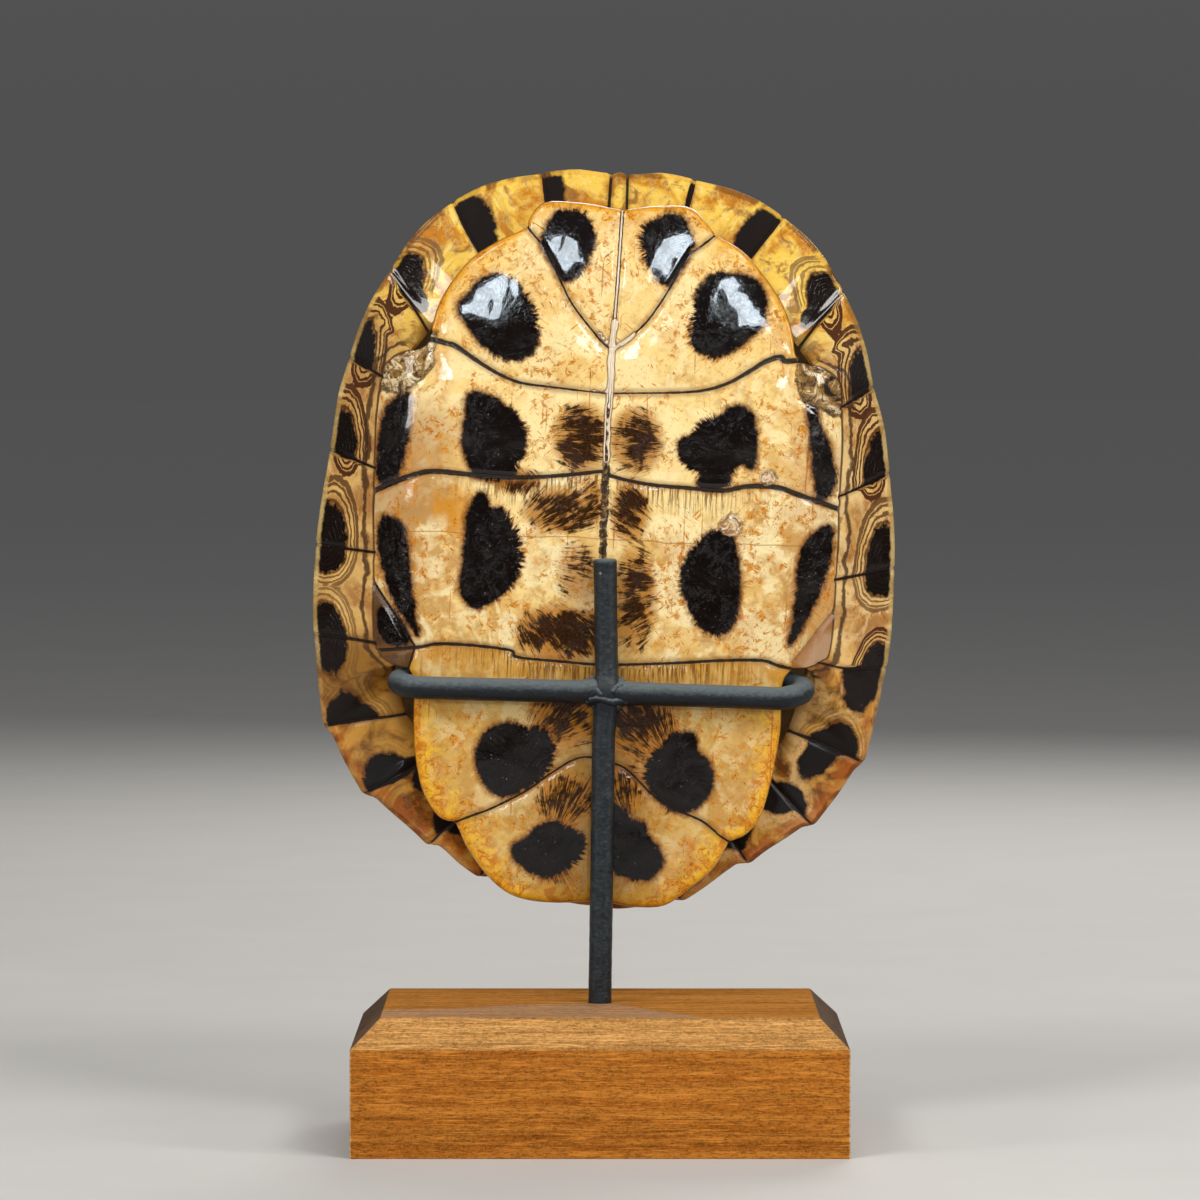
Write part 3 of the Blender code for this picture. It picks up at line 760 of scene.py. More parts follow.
# %% Distances on the plastron
TRANSVERSE_SEAMS = [
    [(-40.0, 108.0), (-25.4, 91.1), (-21.6, 86.6), (-15.9, 76.7), (-12.7, 70.9), (-7.1, 64.0),
     (-1.5, 58.6), (2.6, 60.5), (8.5, 66.2), (13.1, 73.1), (16.5, 79.4), (20.0, 85.6),
     (24.7, 89.5), (40.0, 103.0)],
    [(-66.0, 62.0), (-47.8, 58.3), (-44.2, 57.2), (-38.1, 53.3), (-32.0, 50.0), (-26.0, 47.9),
     (-17.1, 47.0), (-2.2, 45.9), (0.8, 46.0), (21.5, 47.2), (30.6, 49.4), (36.6, 52.7),
     (42.5, 56.6), (46.7, 58.0), (49.2, 56.9), (66.0, 60.0)],
    [(-70.0, 14.0), (-65.7, 16.1), (-61.6, 18.1), (-54.6, 21.0), (-48.7, 22.1), (-36.8, 21.4),
     (-25.0, 21.3), (-13.1, 22.4), (-1.3, 24.0), (0.2, 22.8), (10.4, 20.9), (22.6, 20.2),
     (31.8, 19.9), (39.0, 21.4), (47.0, 21.4), (53.2, 19.6), (63.7, 16.3), (70.0, 14.0)],
    [(-70.0, -30.0), (-52.0, -27.5), (-46.8, -26.4), (-37.9, -26.3), (-26.0, -27.3),
     (-24.1, -29.1), (-14.0, -29.8), (-2.7, -30.3), (5.1, -30.1), (18.5, -29.2),
     (36.8, -27.6), (45.9, -27.5), (50.2, -28.8), (70.0, -33.0)],
    [(-60.0, -88.0), (-39.8, -76.6), (-29.9, -72.2), (-20.1, -66.8), (-13.7, -61.9),
     (-7.3, -57.6), (-2.3, -56.5), (5.0, -58.1), (9.1, -60.3), (16.0, -66.7), (22.8, -70.4),
     (29.6, -73.1), (33.7, -76.0), (37.1, -78.5), (60.0, -92.0)],
]
SEAM_HALF_WIDTH = [0.26, 0.20, 0.48, 0.34, 0.26]
SEAM_WIDER_OUTSIDE = [0.0, 0.50, 0.22, 0.10, 0.08]
MIDLINE = [
    (0.9, 112.0), (0.6, 97.7), (0.1, 77.5), (-0.7, 59.2), (-0.8, 46.9), (-1.3, 37.7),
    (-1.1, 25.5), (-1.1, 0.0), (-0.8, -30.2), (-0.8, -57.0), (0.4, -110.0),
]
CORNER_SCUTES = [
    [(-50.0, 61.0), (-71.0, 61.0), (-71.0, 45.0), (-60.0, 43.5), (-54.0, 47.5), (-51.0, 52.0)],
    [(51.0, 64.0), (71.0, 64.0), (71.0, 41.0), (61.0, 42.5), (53.0, 46.0), (51.5, 52.0)],
    [(-68.0, -6.0), (-64.7, -11.0), (-59.0, -18.8), (-52.9, -27.2), (-53.8, -31.0),
     (-55.0, -35.0), (-60.0, -42.0), (-72.0, -40.0)],
    [(69.0, -8.0), (63.5, -14.5), (58.0, -21.5), (53.4, -27.5), (54.2, -31.5),
     (55.4, -35.5), (60.0, -42.0), (72.0, -40.0)],
]


def line_distance(points, line):
    """How far points lie from a line through many points."""
    best = np.full(len(points), np.inf)
    for start, end in zip(line, line[1:]):
        along = end - start
        part = np.clip(((points - start) @ along) / max(along @ along, 1e-12), 0.0, 1.0)
        away = points - start - part[:, None] * along
        best = np.minimum(best, (away * away).sum(axis=1))
    return np.sqrt(best)


def region_distance(points, region):
    """Distance to a closed outline, negative inside it."""
    inside = np.zeros(len(points), bool)
    for (u1, w1), (u2, w2) in zip(region, np.roll(region, -1, axis=0)):
        crosses = (w1 > points[:, 1]) != (w2 > points[:, 1])
        level = np.where(w2 == w1, 1.0, w2 - w1)
        inside ^= crosses & (points[:, 0] < u1 + (u2 - u1) * (points[:, 1] - w1) / level)
    distance = line_distance(points, np.concatenate([region, region[:1]]))
    return np.where(inside, -distance, distance)


points = np.concatenate(net.points)
around = np.concatenate(net.around)
across = np.concatenate(net.across)
plan = points[:, [0, 2]]
zone_of_point = np.full((net.count, 4), False)
for face, zone in zip(net.faces, net.zones):
    zone_of_point[face, zone] = True
marks = {}
FAR = 99.0


def store(name, zone, values, empty=FAR):
    """Keeps values for a zone's points; points elsewhere get the empty value."""
    marks[name] = np.full(net.count, float(empty))
    marks[name][zone] = values


belly = np.flatnonzero(zone_of_point[:, PLASTRON])
belly_plan = plan[belly]
seam_lines = [smooth_line(line, steps=6) for line in TRANSVERSE_SEAMS]
seam_away = np.array([line_distance(belly_plan, line) for line in seam_lines])
behind_seam = np.array([
    belly_plan[:, 1] < np.interp(belly_plan[:, 0], line[:, 0], line[:, 1]) for line in seam_lines
])
scute = behind_seam.sum(axis=0)
nearest_seam = seam_away.argmin(axis=0)
sign = np.where(scute % 2 == 0, 1.0, -1.0)
middle_u = np.interp(-belly_plan[:, 1], [-w for u, w in MIDLINE], [u for u, w in MIDLINE])
corner_away = np.min([region_distance(belly_plan, np.array(r)) for r in CORNER_SCUTES], axis=0)
passed = np.where(scute > 0, seam_away[np.maximum(scute - 1, 0), np.arange(len(belly))], FAR)
LOBE_SAMPLES = 160
free_parts = [
    outline(np.linspace(start, end, LOBE_SAMPLES) + MARGINALS)
    for start, end in ((-BRIDGE_START, BRIDGE_START), (BRIDGE_END, MARGINALS - BRIDGE_END))
]
edge_away = np.min([line_distance(belly_plan, line) for line in free_parts], axis=0)

store("seam_across", belly, sign * seam_away.min(axis=0))
outside = np.clip(abs(belly_plan[:, 0]) / 45.0, 0.0, 1.0) ** 2
seam_wide = np.array(SEAM_HALF_WIDTH)[nearest_seam]
store("seam_wide", belly, seam_wide + np.array(SEAM_WIDER_OUTSIDE)[nearest_seam] * outside, 0.4)
store("midline", belly, belly_plan[:, 0] - middle_u)
store("corner", belly, corner_away)
store("behind", belly, passed)
store("scute", belly, scute, 0.0)
store("edge", belly, edge_away)
print("plastron points:", len(belly), "in", len(set(scute.tolist())), "rows of scutes")

# %% [markdown]
# ## The blotches
# A slider's plastron carries one dark blotch on every scute. Each is drawn here as a short
# closed outline. The stored distance lets the shader fray its edge, and the direction from
# the blotch's middle makes the frayed streaks point outward as the horn grew.

# %% Distances to the blotches
BLOTCHES = [
    [(-17.6, 95.9), (-13.4, 96.5), (-9.8, 95.5), (-7.7, 92.2), (-6.9, 87.8), (-8.3, 83.0),
     (-10.4, 79.6), (-13.5, 76.9), (-16.0, 77.9), (-18.5, 82.0), (-21.5, 86.6), (-21.1, 90.2)],
    [(-38.7, 75.7), (-35.2, 77.7), (-30.8, 77.3), (-27.1, 74.5), (-23.9, 69.9), (-22.2, 64.6),
     (-21.6, 60.5), (-23.4, 56.3), (-27.5, 54.0), (-32.2, 55.0), (-36.5, 57.5), (-40.2, 61.5),
     (-43.0, 65.6), (-44.3, 68.2), (-42.7, 70.9)],
    [(-40.7, 43.6), (-37.8, 44.7), (-34.2, 43.7), (-30.8, 42.0), (-27.8, 40.1), (-25.3, 36.6),
     (-23.9, 33.1), (-24.2, 28.9), (-26.0, 25.3), (-27.3, 21.4), (-33.2, 20.3), (-38.0, 21.3),
     (-40.3, 26.2), (-41.6, 30.6), (-41.3, 36.6)],
    [(-63.9, 38.0), (-62.5, 40.8), (-59.6, 42.9), (-57.0, 43.6), (-56.6, 37.7), (-56.8, 31.8),
     (-58.1, 25.8), (-59.2, 21.0), (-62.1, 17.5), (-64.5, 18.2), (-65.6, 21.4), (-65.3, 28.5)],
    [(-37.8, 15.2), (-35.1, 16.8), (-32.9, 12.7), (-29.3, 12.0), (-27.4, 8.8), (-25.2, 4.7),
     (-24.1, 0.0), (-24.5, -5.9), (-26.7, -9.6), (-30.7, -13.3), (-35.3, -15.6),
     (-38.3, -14.8), (-40.7, -11.3), (-40.5, -5.4), (-39.8, 3.5), (-39.6, 10.1)],
    [(-63.3, 8.8), (-60.6, 8.3), (-57.6, 6.4), (-55.9, 1.1), (-55.0, -6.0), (-54.2, -11.9),
     (-53.2, -17.8), (-52.1, -24.2), (-55.3, -20.2), (-59.1, -15.0), (-61.7, -9.2),
     (-63.8, -1.6), (-64.5, 4.3)],
    [(-63.7, -17.3), (-60.2, -17.3), (-57.1, -20.3), (-54.9, -23.8), (-54.8, -26.7),
     (-58.6, -27.5), (-62.2, -25.8), (-63.8, -22.3)],
    [(-33.7, -53.7), (-30.8, -49.6), (-25.6, -47.6), (-20.2, -48.9), (-15.6, -48.8),
     (-12.7, -53.9), (-13.5, -59.2), (-16.0, -63.3), (-20.2, -66.0), (-24.1, -68.2),
     (-28.1, -68.1), (-31.5, -65.3), (-33.7, -61.4), (-34.5, -57.4)],
    [(-15.8, -76.1), (-11.2, -74.8), (-7.1, -76.6), (-4.1, -78.1), (-2.9, -82.1),
     (-6.1, -86.9), (-11.2, -90.1), (-15.9, -90.1), (-20.0, -88.2), (-22.9, -85.0),
     (-22.8, -81.7), (-19.6, -80.1)],
    [(11.6, 95.7), (14.6, 96.7), (17.9, 95.3), (19.9, 91.7), (20.6, 88.1), (19.4, 84.4),
     (16.8, 80.6), (14.7, 77.2), (11.4, 77.9), (9.8, 80.3), (7.9, 82.7), (6.1, 89.3), (7.6, 93.4)],
    [(25.1, 79.1), (28.1, 80.6), (32.4, 80.6), (36.7, 80.1), (40.2, 77.6), (41.9, 73.0),
     (41.5, 67.8), (39.2, 64.4), (36.2, 61.8), (32.7, 59.2), (28.4, 57.5), (24.1, 58.3),
     (21.5, 60.9), (21.5, 64.9), (22.0, 69.8), (21.7, 72.8), (23.1, 76.3)],
    [(30.3, 41.2), (33.0, 43.2), (36.3, 43.8), (39.2, 41.9), (40.2, 38.0), (40.7, 33.1),
     (40.1, 26.4), (37.0, 27.8), (34.3, 25.5), (33.0, 21.2), (28.1, 19.8), (25.0, 20.9),
     (24.9, 24.5), (20.8, 27.1), (18.9, 32.8), (22.0, 35.1), (25.2, 38.6)],
    [(54.6, 45.3), (56.4, 46.0), (57.9, 42.3), (58.5, 38.7), (61.2, 33.9), (62.7, 28.5),
     (63.4, 23.0), (61.7, 19.6), (58.8, 17.9), (57.6, 24.6), (56.4, 30.7), (55.4, 38.0)],
    [(28.0, 7.5), (31.6, 8.8), (35.0, 7.2), (36.5, 2.4), (37.7, -3.7), (37.6, -9.8),
     (36.8, -16.0), (34.6, -19.7), (31.6, -20.7), (27.2, -18.8), (24.0, -14.0), (21.8, -9.2),
     (21.0, -4.4), (22.2, 0.6), (25.4, 4.7)],
    [(58.5, 9.1), (62.7, 11.1), (63.4, 4.7), (62.1, -1.5), (60.4, -7.7), (57.6, -13.9),
     (54.8, -19.5), (52.3, -23.0), (53.1, -15.3), (53.8, -7.9), (53.9, -0.6), (55.0, 4.9)],
    [(17.5, -52.7), (20.7, -49.2), (26.3, -48.5), (27.6, -52.9), (31.1, -56.8), (32.5, -62.7),
     (30.7, -66.8), (26.8, -70.4), (22.9, -71.1), (18.1, -68.6), (14.6, -64.8),
     (13.2, -59.5), (14.6, -55.4)],
    [(2.9, -69.9), (6.9, -70.1), (10.3, -73.2), (13.4, -74.5), (14.6, -77.7), (17.4, -80.6),
     (19.3, -84.5), (18.2, -87.9), (15.0, -90.3), (10.3, -90.2), (5.9, -88.1), (3.1, -83.8),
     (2.2, -77.2)],
]
GROWTH_CENTRES = {
    -1: [(-14.5, 87), (-32.5, 65.5), (-33, 33), (-33, -1), (-23.5, -58), (-13, -82.5)],
    1: [(12.5, 87.8), (31, 69), (30.6, 33), (30.4, -6), (22.4, -60.5), (11, -82)],
}
# Brown stains near the middle line: place, size and strength
STAINS = [
    ((-8.5, 33.0), (9.5, 12.0), 1.0), ((7.0, 33.0), (9.0, 11.5), 1.0),
    ((-14.0, 12.5), (12.0, 8.0), 0.95), ((-4.5, 15.0), (5.0, 9.0), 0.7),
    ((-11.5, -22.0), (15.5, 9.5), 1.1), ((-8.0, -5.0), (7.0, 13.0), 0.55),
    ((6.0, 13.0), (7.0, 11.0), 0.9), ((8.0, -12.0), (8.5, 18.0), 0.8),
    ((-10.0, -45.0), (12.0, 11.0), 0.85), ((11.0, -46.0), (13.0, 13.0), 0.9),
    ((-8.0, -69.0), (11.0, 10.0), 0.7), ((8.0, -65.0), (8.0, 9.0), 0.8),
    ((-26.0, 20.5), (9.0, 5.0), 0.7), ((-12.0, -90.0), (8.0, 4.0), 0.45),
]
BRIDGE_CENTRES = {-1: {2: (-61, 31), 3: (-59, -7)}, 1: {2: (59, 34), 3: (58, -5)}}
BRIDGE_LINE = 49.0

each_blotch = np.array([
    region_distance(belly_plan, smooth_line(blotch, closed=True)) for blotch in BLOTCHES
])
blotch_away = each_blotch.min(axis=0)
# The edge that faces the middle line is the hairy one, and the bridges' blotches are clean
blotch_middles = np.array([np.mean(blotch, axis=0) for blotch in BLOTCHES])
blotch_middle = blotch_middles[each_blotch.argmin(axis=0)]
outward = (abs(belly_plan[:, 0]) - abs(blotch_middle[:, 0])) / 9.0
hairy = 1.0 - 0.75 * np.clip(outward + 0.35, 0.0, 1.0)
hairy = np.where(abs(blotch_middle[:, 0]) > 50.0, 0.3, hairy)
store("hairy", belly, hairy, 0.0)
side_of = np.where(marks["midline"][belly] < 0.0, -1, 1)
centre = np.zeros((len(belly), 2))
for side in (-1, 1):
    for row, place in enumerate(GROWTH_CENTRES[side]):
        centre[(side_of == side) & (scute == row)] = place
    for row, place in BRIDGE_CENTRES[side].items():
        outer = abs(belly_plan[:, 0]) > BRIDGE_LINE
        centre[(side_of == side) & (scute == row) & outer] = place
spoke = belly_plan - centre
reach = np.linalg.norm(spoke, axis=1)
ray = np.zeros((net.count, 3))
ray[belly, 0:2] = spoke / np.maximum(reach, 0.01)[:, None]
ray[belly, 2] = reach
# Two pits in the horn, filled with clear resin: place and radius
PITS = [((34.6, 10.3), 3.3), ((44.4, 24.1), 2.4)]
pit = np.min([
    np.linalg.norm(belly_plan - place, axis=1) / radius for place, radius in PITS
], axis=0)
store("pit", belly, pit, 9.0)
stain = np.zeros(len(belly))
for place, size, strength in STAINS:
    far = (((belly_plan - place) / size) ** 2).sum(axis=1)
    stain = np.maximum(stain, strength * np.clip(1.0 - far, 0.0, 1.0))
store("blotch", belly, blotch_away)
store("stain", belly, stain, 0.0)
print("blotches:", len(BLOTCHES), "points inside one:", int((blotch_away < 0).sum()))

# %% [markdown]
# ## The marginals
# Each marginal has a dark blotch at its rear end, against the next seam, with yellow and
# brown rings round it. The same two distances, along the rim and across from it, place the
# blotch under and over the rim. On top the carapace's scutes follow: five down the middle
# and four at each side.

# %% Distances on the marginals and the carapace
CERVICAL_HALF = 2.3
# The seams between marginals lean back on their way to the lip, by these parts of a marginal
RIGHT_LEAN = [0.0, 0.0, -0.05, 0.05, 0.17, 0.27, 0.24, 0.34, 0.30, 0.10, 0.05, 0.0, 0.0]
LEFT_LEAN = [0.0, 0.05, 0.13, 0.05, 0.0, 0.08, 0.07, 0.11, 0.34, 0.38, 0.20, 0.0, 0.0]
# Half ellipses at the seams: seam, side (0 is both), reach along the rim (forward is plus),
# middle across, half width across and how clear its rings are
MARGINAL_BLOTCHES = [
    (1, -1, 5.2, 3.5, 10.0, 0.0), (1, 1, 1.0, 3.5, 9.0, 0.0), (2, -1, 9.2, 7.5, 12.0, 0.15),
    (2, 1, 8.2, 7.5, 12.0, 0.1),
    (3, 0, 9.0, 4.6, 6.4, 0.6), (4, 0, 12.0, 1.2, 6.4, 0.9), (5, 0, 12.5, 1.4, 6.2, 0.9),
    (6, 0, 13.0, 2.2, 6.4, 0.8), (6, 0, -7.5, 2.2, 6.4, 0.7), (7, -1, 9.5, 2.8, 6.2, 0.6),
    (7, -1, -11.0, 2.8, 6.2, 0.3), (7, 1, 7.5, 2.8, 4.8, 1.0), (7, 1, -12.5, 5.8, 6.8, 0.0),
    (8, -1, 7.8, 7.0, 7.4, 0.4), (8, 1, 8.0, 8.8, 6.8, 0.4), (8, 1, -10.5, 10.2, 4.8, 0.0),
    (9, -1, 8.5, 8.5, 7.5, 0.15), (9, 1, 4.6, 9.8, 6.4, 0.0), (9, 1, -7.5, 9.5, 4.6, 0.0),
    (9, -1, -1.5, 9.0, 7.0, 0.0),
    (10, 0, 7.0, 10.0, 6.0, 0.0), (10, 0, -6.0, 10.0, 6.0, 0.0), (11, 0, 6.0, 9.0, 4.0, 0.0),
]
# Small sets of rings just behind a seam: seam, middle across, reach back, half width
RING_SPOTS = [(4, 4.8, 6.5, 4.8), (5, 4.6, 6.0, 4.4), (3, 6.0, 7.0, 5.0)]
# Dark marks apart from the seams: marginals from the front, across, half length, half width
EXTRA_SPOTS = [(9.30, 15.0, 4.5, 6.0), (2.92, 11.5, 1.9, 4.5)]
RING_FIRST, RING_LAST, RING_PITCH = 1.0, 1.6, 0.17
UPPER_WIDTH = [17.0, 17.0, 16.0, 15.0, 14.0, 13.5, 13.5, 14.0, 15.5, 17.0, 18.0, 19.0, 20.0]

edge_zone = np.flatnonzero(zone_of_point[:, MARGINAL] | zone_of_point[:, CARAPACE])
edge_q = around[edge_zone]
on_right = edge_q % MARGINALS < MARGINALS / 2
from_rim = across[edge_zone]
width_here = np.linalg.norm(lip(edge_q) - rim(edge_q), axis=1)
part_in = np.clip(from_rim / width_here, 0.0, 1.0)
q_side = along_side(edge_q)
lean = np.where(on_right, *[np.interp(q_side, range(13), line) for line in (RIGHT_LEAN, LEFT_LEAN)])
q_side = q_side - lean * part_in
step_length, lip_length = (
    np.linalg.norm(chord(line, edge_q), axis=1) / (2.0 * CHORD_HALF) for line in (rim_line, lip)
)
step_length = step_length + (np.minimum(lip_length, step_length) - step_length) * part_in
step_length = step_length * np.where(from_rim < 0.0, np.clip(1.0 + from_rim / 90.0, 0.5, 1.0), 1.0)
seam_number = np.clip(np.round(q_side), 0, 12).astype(int)
to_seam = (seam_number - q_side) * step_length
mark = np.full(len(edge_zone), 9.0)
rings = np.zeros(len(edge_zone))


def add_mark(value, ringed):
    """Lays a mark's value over the others where it is less."""
    nearer = value < mark
    mark[nearer] = value[nearer]
    rings[nearer] = ringed


for number, side, along, centre_across, half, ringed in MARGINAL_BLOTCHES:
    behind_it = (number - q_side) * step_length
    length = np.where(behind_it * along > 0.0, abs(along), 0.6)
    value = np.hypot(behind_it / length, (abs(from_rim) - centre_across) / half)
    other_side = (side == 1) & ~on_right | (side == -1) & on_right
    add_mark(np.where(other_side, 9.0, value), ringed)
for number, centre_across, reach_back, half in RING_SPOTS:
    behind_it = (number - q_side) * step_length
    length = np.where(behind_it > 0.0, 0.5, reach_back)
    value = np.hypot(behind_it / length, (abs(from_rim) - centre_across) / half)
    add_mark(RING_FIRST + 0.02 + (RING_LAST - RING_FIRST) * value, 1.0)
for place, centre_across, half_along, half in EXTRA_SPOTS:
    behind_it = (place - q_side) * step_length
    add_mark(np.hypot(behind_it / half_along, (abs(from_rim) - centre_across) / half), 0.0)
signed_seam = np.where(seam_number % 2 == 0, 1.0, -1.0) * to_seam
seam_line = np.where(seam_number == 0, CERVICAL_HALF - q_side * step_length, signed_seam)

store("m_seam", edge_zone, seam_line)
store("m_mark", edge_zone, mark, 9.0)
store("m_rings", edge_zone, rings, 0.0)
store("m_rim", edge_zone, from_rim)
store("m_lip", edge_zone, np.where(from_rim >= 0.0, width_here - from_rim, FAR))
store("m_side", edge_zone, along_side(edge_q), 0.0)
past_bridge = abs(along_side(edge_q) - 5.5) - 2.0
store("m_bridge", edge_zone, np.clip(1.0 - past_bridge / 0.4, 0.0, 1.0), 0.0)
store("c_ring", edge_zone, -from_rim - side_value(UPPER_WIDTH, edge_q), -FAR)

VERTEBRAL_EDGE = [
    (100.0, 17.0), (80.0, 15.5), (58.0, 13.5), (39.0, 20.5), (20.0, 14.0), (1.0, 21.0),
    (-18.0, 14.0), (-36.0, 19.5), (-52.0, 13.0), (-68.0, 19.0), (-84.0, 26.0), (-104.0, 30.0),
]
VERTEBRAL_SEAMS = [58.0, 20.0, -18.0, -52.0]
COSTAL_SEAMS = [(39.0, 0.25), (1.0, 0.02), (-36.0, -0.32)]
top = np.flatnonzero(zone_of_point[:, CARAPACE])
top_u, top_w = plan[top, 0] - APEX[0], plan[top, 1]
half_width = np.interp(-top_w, [-w for w, half in VERTEBRAL_EDGE], [h for w, h in VERTEBRAL_EDGE])
inside_column = abs(top_u) < half_width
bow = 1.5 * (top_u / 14.0) ** 2
column_away = np.array([top_w - bow - w for w in VERTEBRAL_SEAMS])
costal_away = np.array([
    top_w - w - slope * (abs(top_u) - 20.0) for w, slope in COSTAL_SEAMS
])


def signed_nearest(away):
    """The nearest of several seams, with a sign that turns at each."""
    sign = np.where((away < 0.0).sum(axis=0) % 2 == 0, 1.0, -1.0)
    return sign * abs(away).min(axis=0)


store("c_column", top, (abs(top_u) - half_width) * 0.9)
cross = np.where(inside_column, signed_nearest(column_away), signed_nearest(costal_away))
store("c_cross", top, cross)
print("marginal and carapace points:", len(edge_zone), len(top))

# %% [markdown]
# ## Carving the seams
# The distances now carve the net. A geometry tree sinks a rounded groove at each seam,
# lowers the start of each scute a little behind its front neighbour, swells the scutes, and
# raises the pale bead of glue on the middle line. Named inputs hold the depths, so the
# carving can be tuned without touching the net. The modifier is applied at the end.

# %% The carving tree
GLUE_LINES = [
    [(-0.3, 66.0), (-0.8, 59.0), (-0.8, 46.9), (-1.2, 37.7), (-1.1, 27.0)],
    [(-0.8, 58.8), (-2.6, 60.4), (-4.6, 63.0)],
    [(-0.8, 58.8), (1.6, 59.8), (4.2, 61.6), (5.6, 63.2)],
    [(-1.0, 46.2), (-3.0, 46.0), (-5.6, 46.5)],
]


def new_geometry_tree(name, inputs):
    """An empty geometry tree with a mesh in, a mesh out and named number inputs."""
    group = bpy.data.node_groups.new(name, "GeometryNodeTree")
    group.interface.new_socket("Geometry", in_out="INPUT", socket_type="NodeSocketGeometry")
    group.interface.new_socket("Geometry", in_out="OUTPUT", socket_type="NodeSocketGeometry")
    for label, value in inputs.items():
        kind = "NodeSocketInt" if isinstance(value, int) else "NodeSocketFloat"
        group.interface.new_socket(label, in_out="INPUT", socket_type=kind).default_value = value
    tree = Tree(group)
    source = group.nodes.new("NodeGroupInput")
    tree.inputs = {socket.name: Wire(tree, socket) for socket in source.outputs if socket.name}
    return tree


def named(tree, name, data_type="FLOAT"):
    """A stored value of the mesh, as a wire."""
    return tree.node("GeometryNodeInputNamedAttribute", {"data_type": data_type}, {"Name": name})


def shift(tree, geometry, distance):
    """Moves a geometry's points along their normals."""
    values = {"Vector": tree.node("GeometryNodeInputNormal"), "Scale": distance}
    offset = tree.node("ShaderNodeVectorMath", {"operation": "SCALE"}, values)
    values = {"Geometry": geometry, "Offset": offset}
    return tree.node("GeometryNodeSetPosition", values=values)


def close_tree(tree, geometry, finishes):
    """Realizes instances, gives each zone its material, and links the result."""
    geometry = tree.node("GeometryNodeRealizeInstances", values=(geometry,))
    for index, finish in enumerate(finishes):
        choice = None
        if len(finishes) > 1:
            zone = named(tree, "zone", "INT")
            settings = {"data_type": "INT", "operation": "EQUAL"}
            choice = tree.node("FunctionNodeCompare", settings, {2: zone, 3: index})
        values = {"Geometry": geometry, "Selection": choice, "Material": finish}
        geometry = tree.node("GeometryNodeSetMaterial", values=values)
    sink = tree.tree.nodes.new("NodeGroupOutput")
    tree.tree.links.new(geometry.socket, sink.inputs[0])


def applied(thing):
    """The mesh that an object's modifiers make. The object itself is removed."""
    depsgraph = bpy.context.evaluated_depsgraph_get()
    mesh = bpy.data.meshes.new_from_object(thing.evaluated_get(depsgraph))
    bpy.data.objects.remove(thing)
    return mesh


def grow(name, mesh, tree):
    """Runs a geometry tree on a mesh, and returns a piece with the plain result."""
    seed = add_object(name + "_seed", mesh)
    seed.modifiers.new("grow", "NODES").node_group = tree.tree
    made = applied(seed)
    made.name = name
    piece = add_object(name, made)
    print(name, "has", sum(len(face.vertices) - 2 for face in made.polygons), "triangles")
    return piece


def carving_tree(finishes):
    depths = {
        "Groove depth": 0.55, "Groove half width": 1.2, "Step depth": 0.22, "Step reach": 7.0,
        "Swell height": 0.55, "Swell reach": 12.0, "Glue height": 0.60, "Glue half width": 1.05,
        "Ripple height": 0.16, "Ripple scale": 0.11,
    }
    tree = new_geometry_tree("carving", depths)
    size = tree.inputs
    groove = named(tree, "groove") / size["Groove half width"]
    groove = tree.step(groove, 1.0, 0.0) * size["Groove depth"] * named(tree, "groove_share")
    step = tree.step(named(tree, "behind") / size["Step reach"], 1.0, 0.0) * size["Step depth"]
    swell = tree.step(named(tree, "groove") / size["Swell reach"], 0.0, 1.0)
    swell = swell * size["Swell height"] * named(tree, "swell_share")
    glue = tree.step(named(tree, "glue") / size["Glue half width"], 1.0, 0.0)
    place = named(tree, "plan", "FLOAT_VECTOR")
    values = {"Vector": place, "Scale": size["Ripple scale"], "Detail": 2.0, "Roughness": 0.45}
    ripple = (tree.node("ShaderNodeTexNoise", values=values) - 0.5) * size["Ripple height"] * 2.0
    height = (swell - groove - step + glue * size["Glue height"] + ripple) * MM
    close_tree(tree, shift(tree, size["Geometry"], height), finishes)
    return tree


# %% [markdown]
# ## Horn and bone
# The finish has layers, as the real horn has: a cream ground with tan clouds, rust flecks
# and scratches, brown streaks near the middle line, the dark blotches with frayed edges,
# then the dark seams. Varnish makes it glossy, and a faint ripple breaks up what it mirrors.


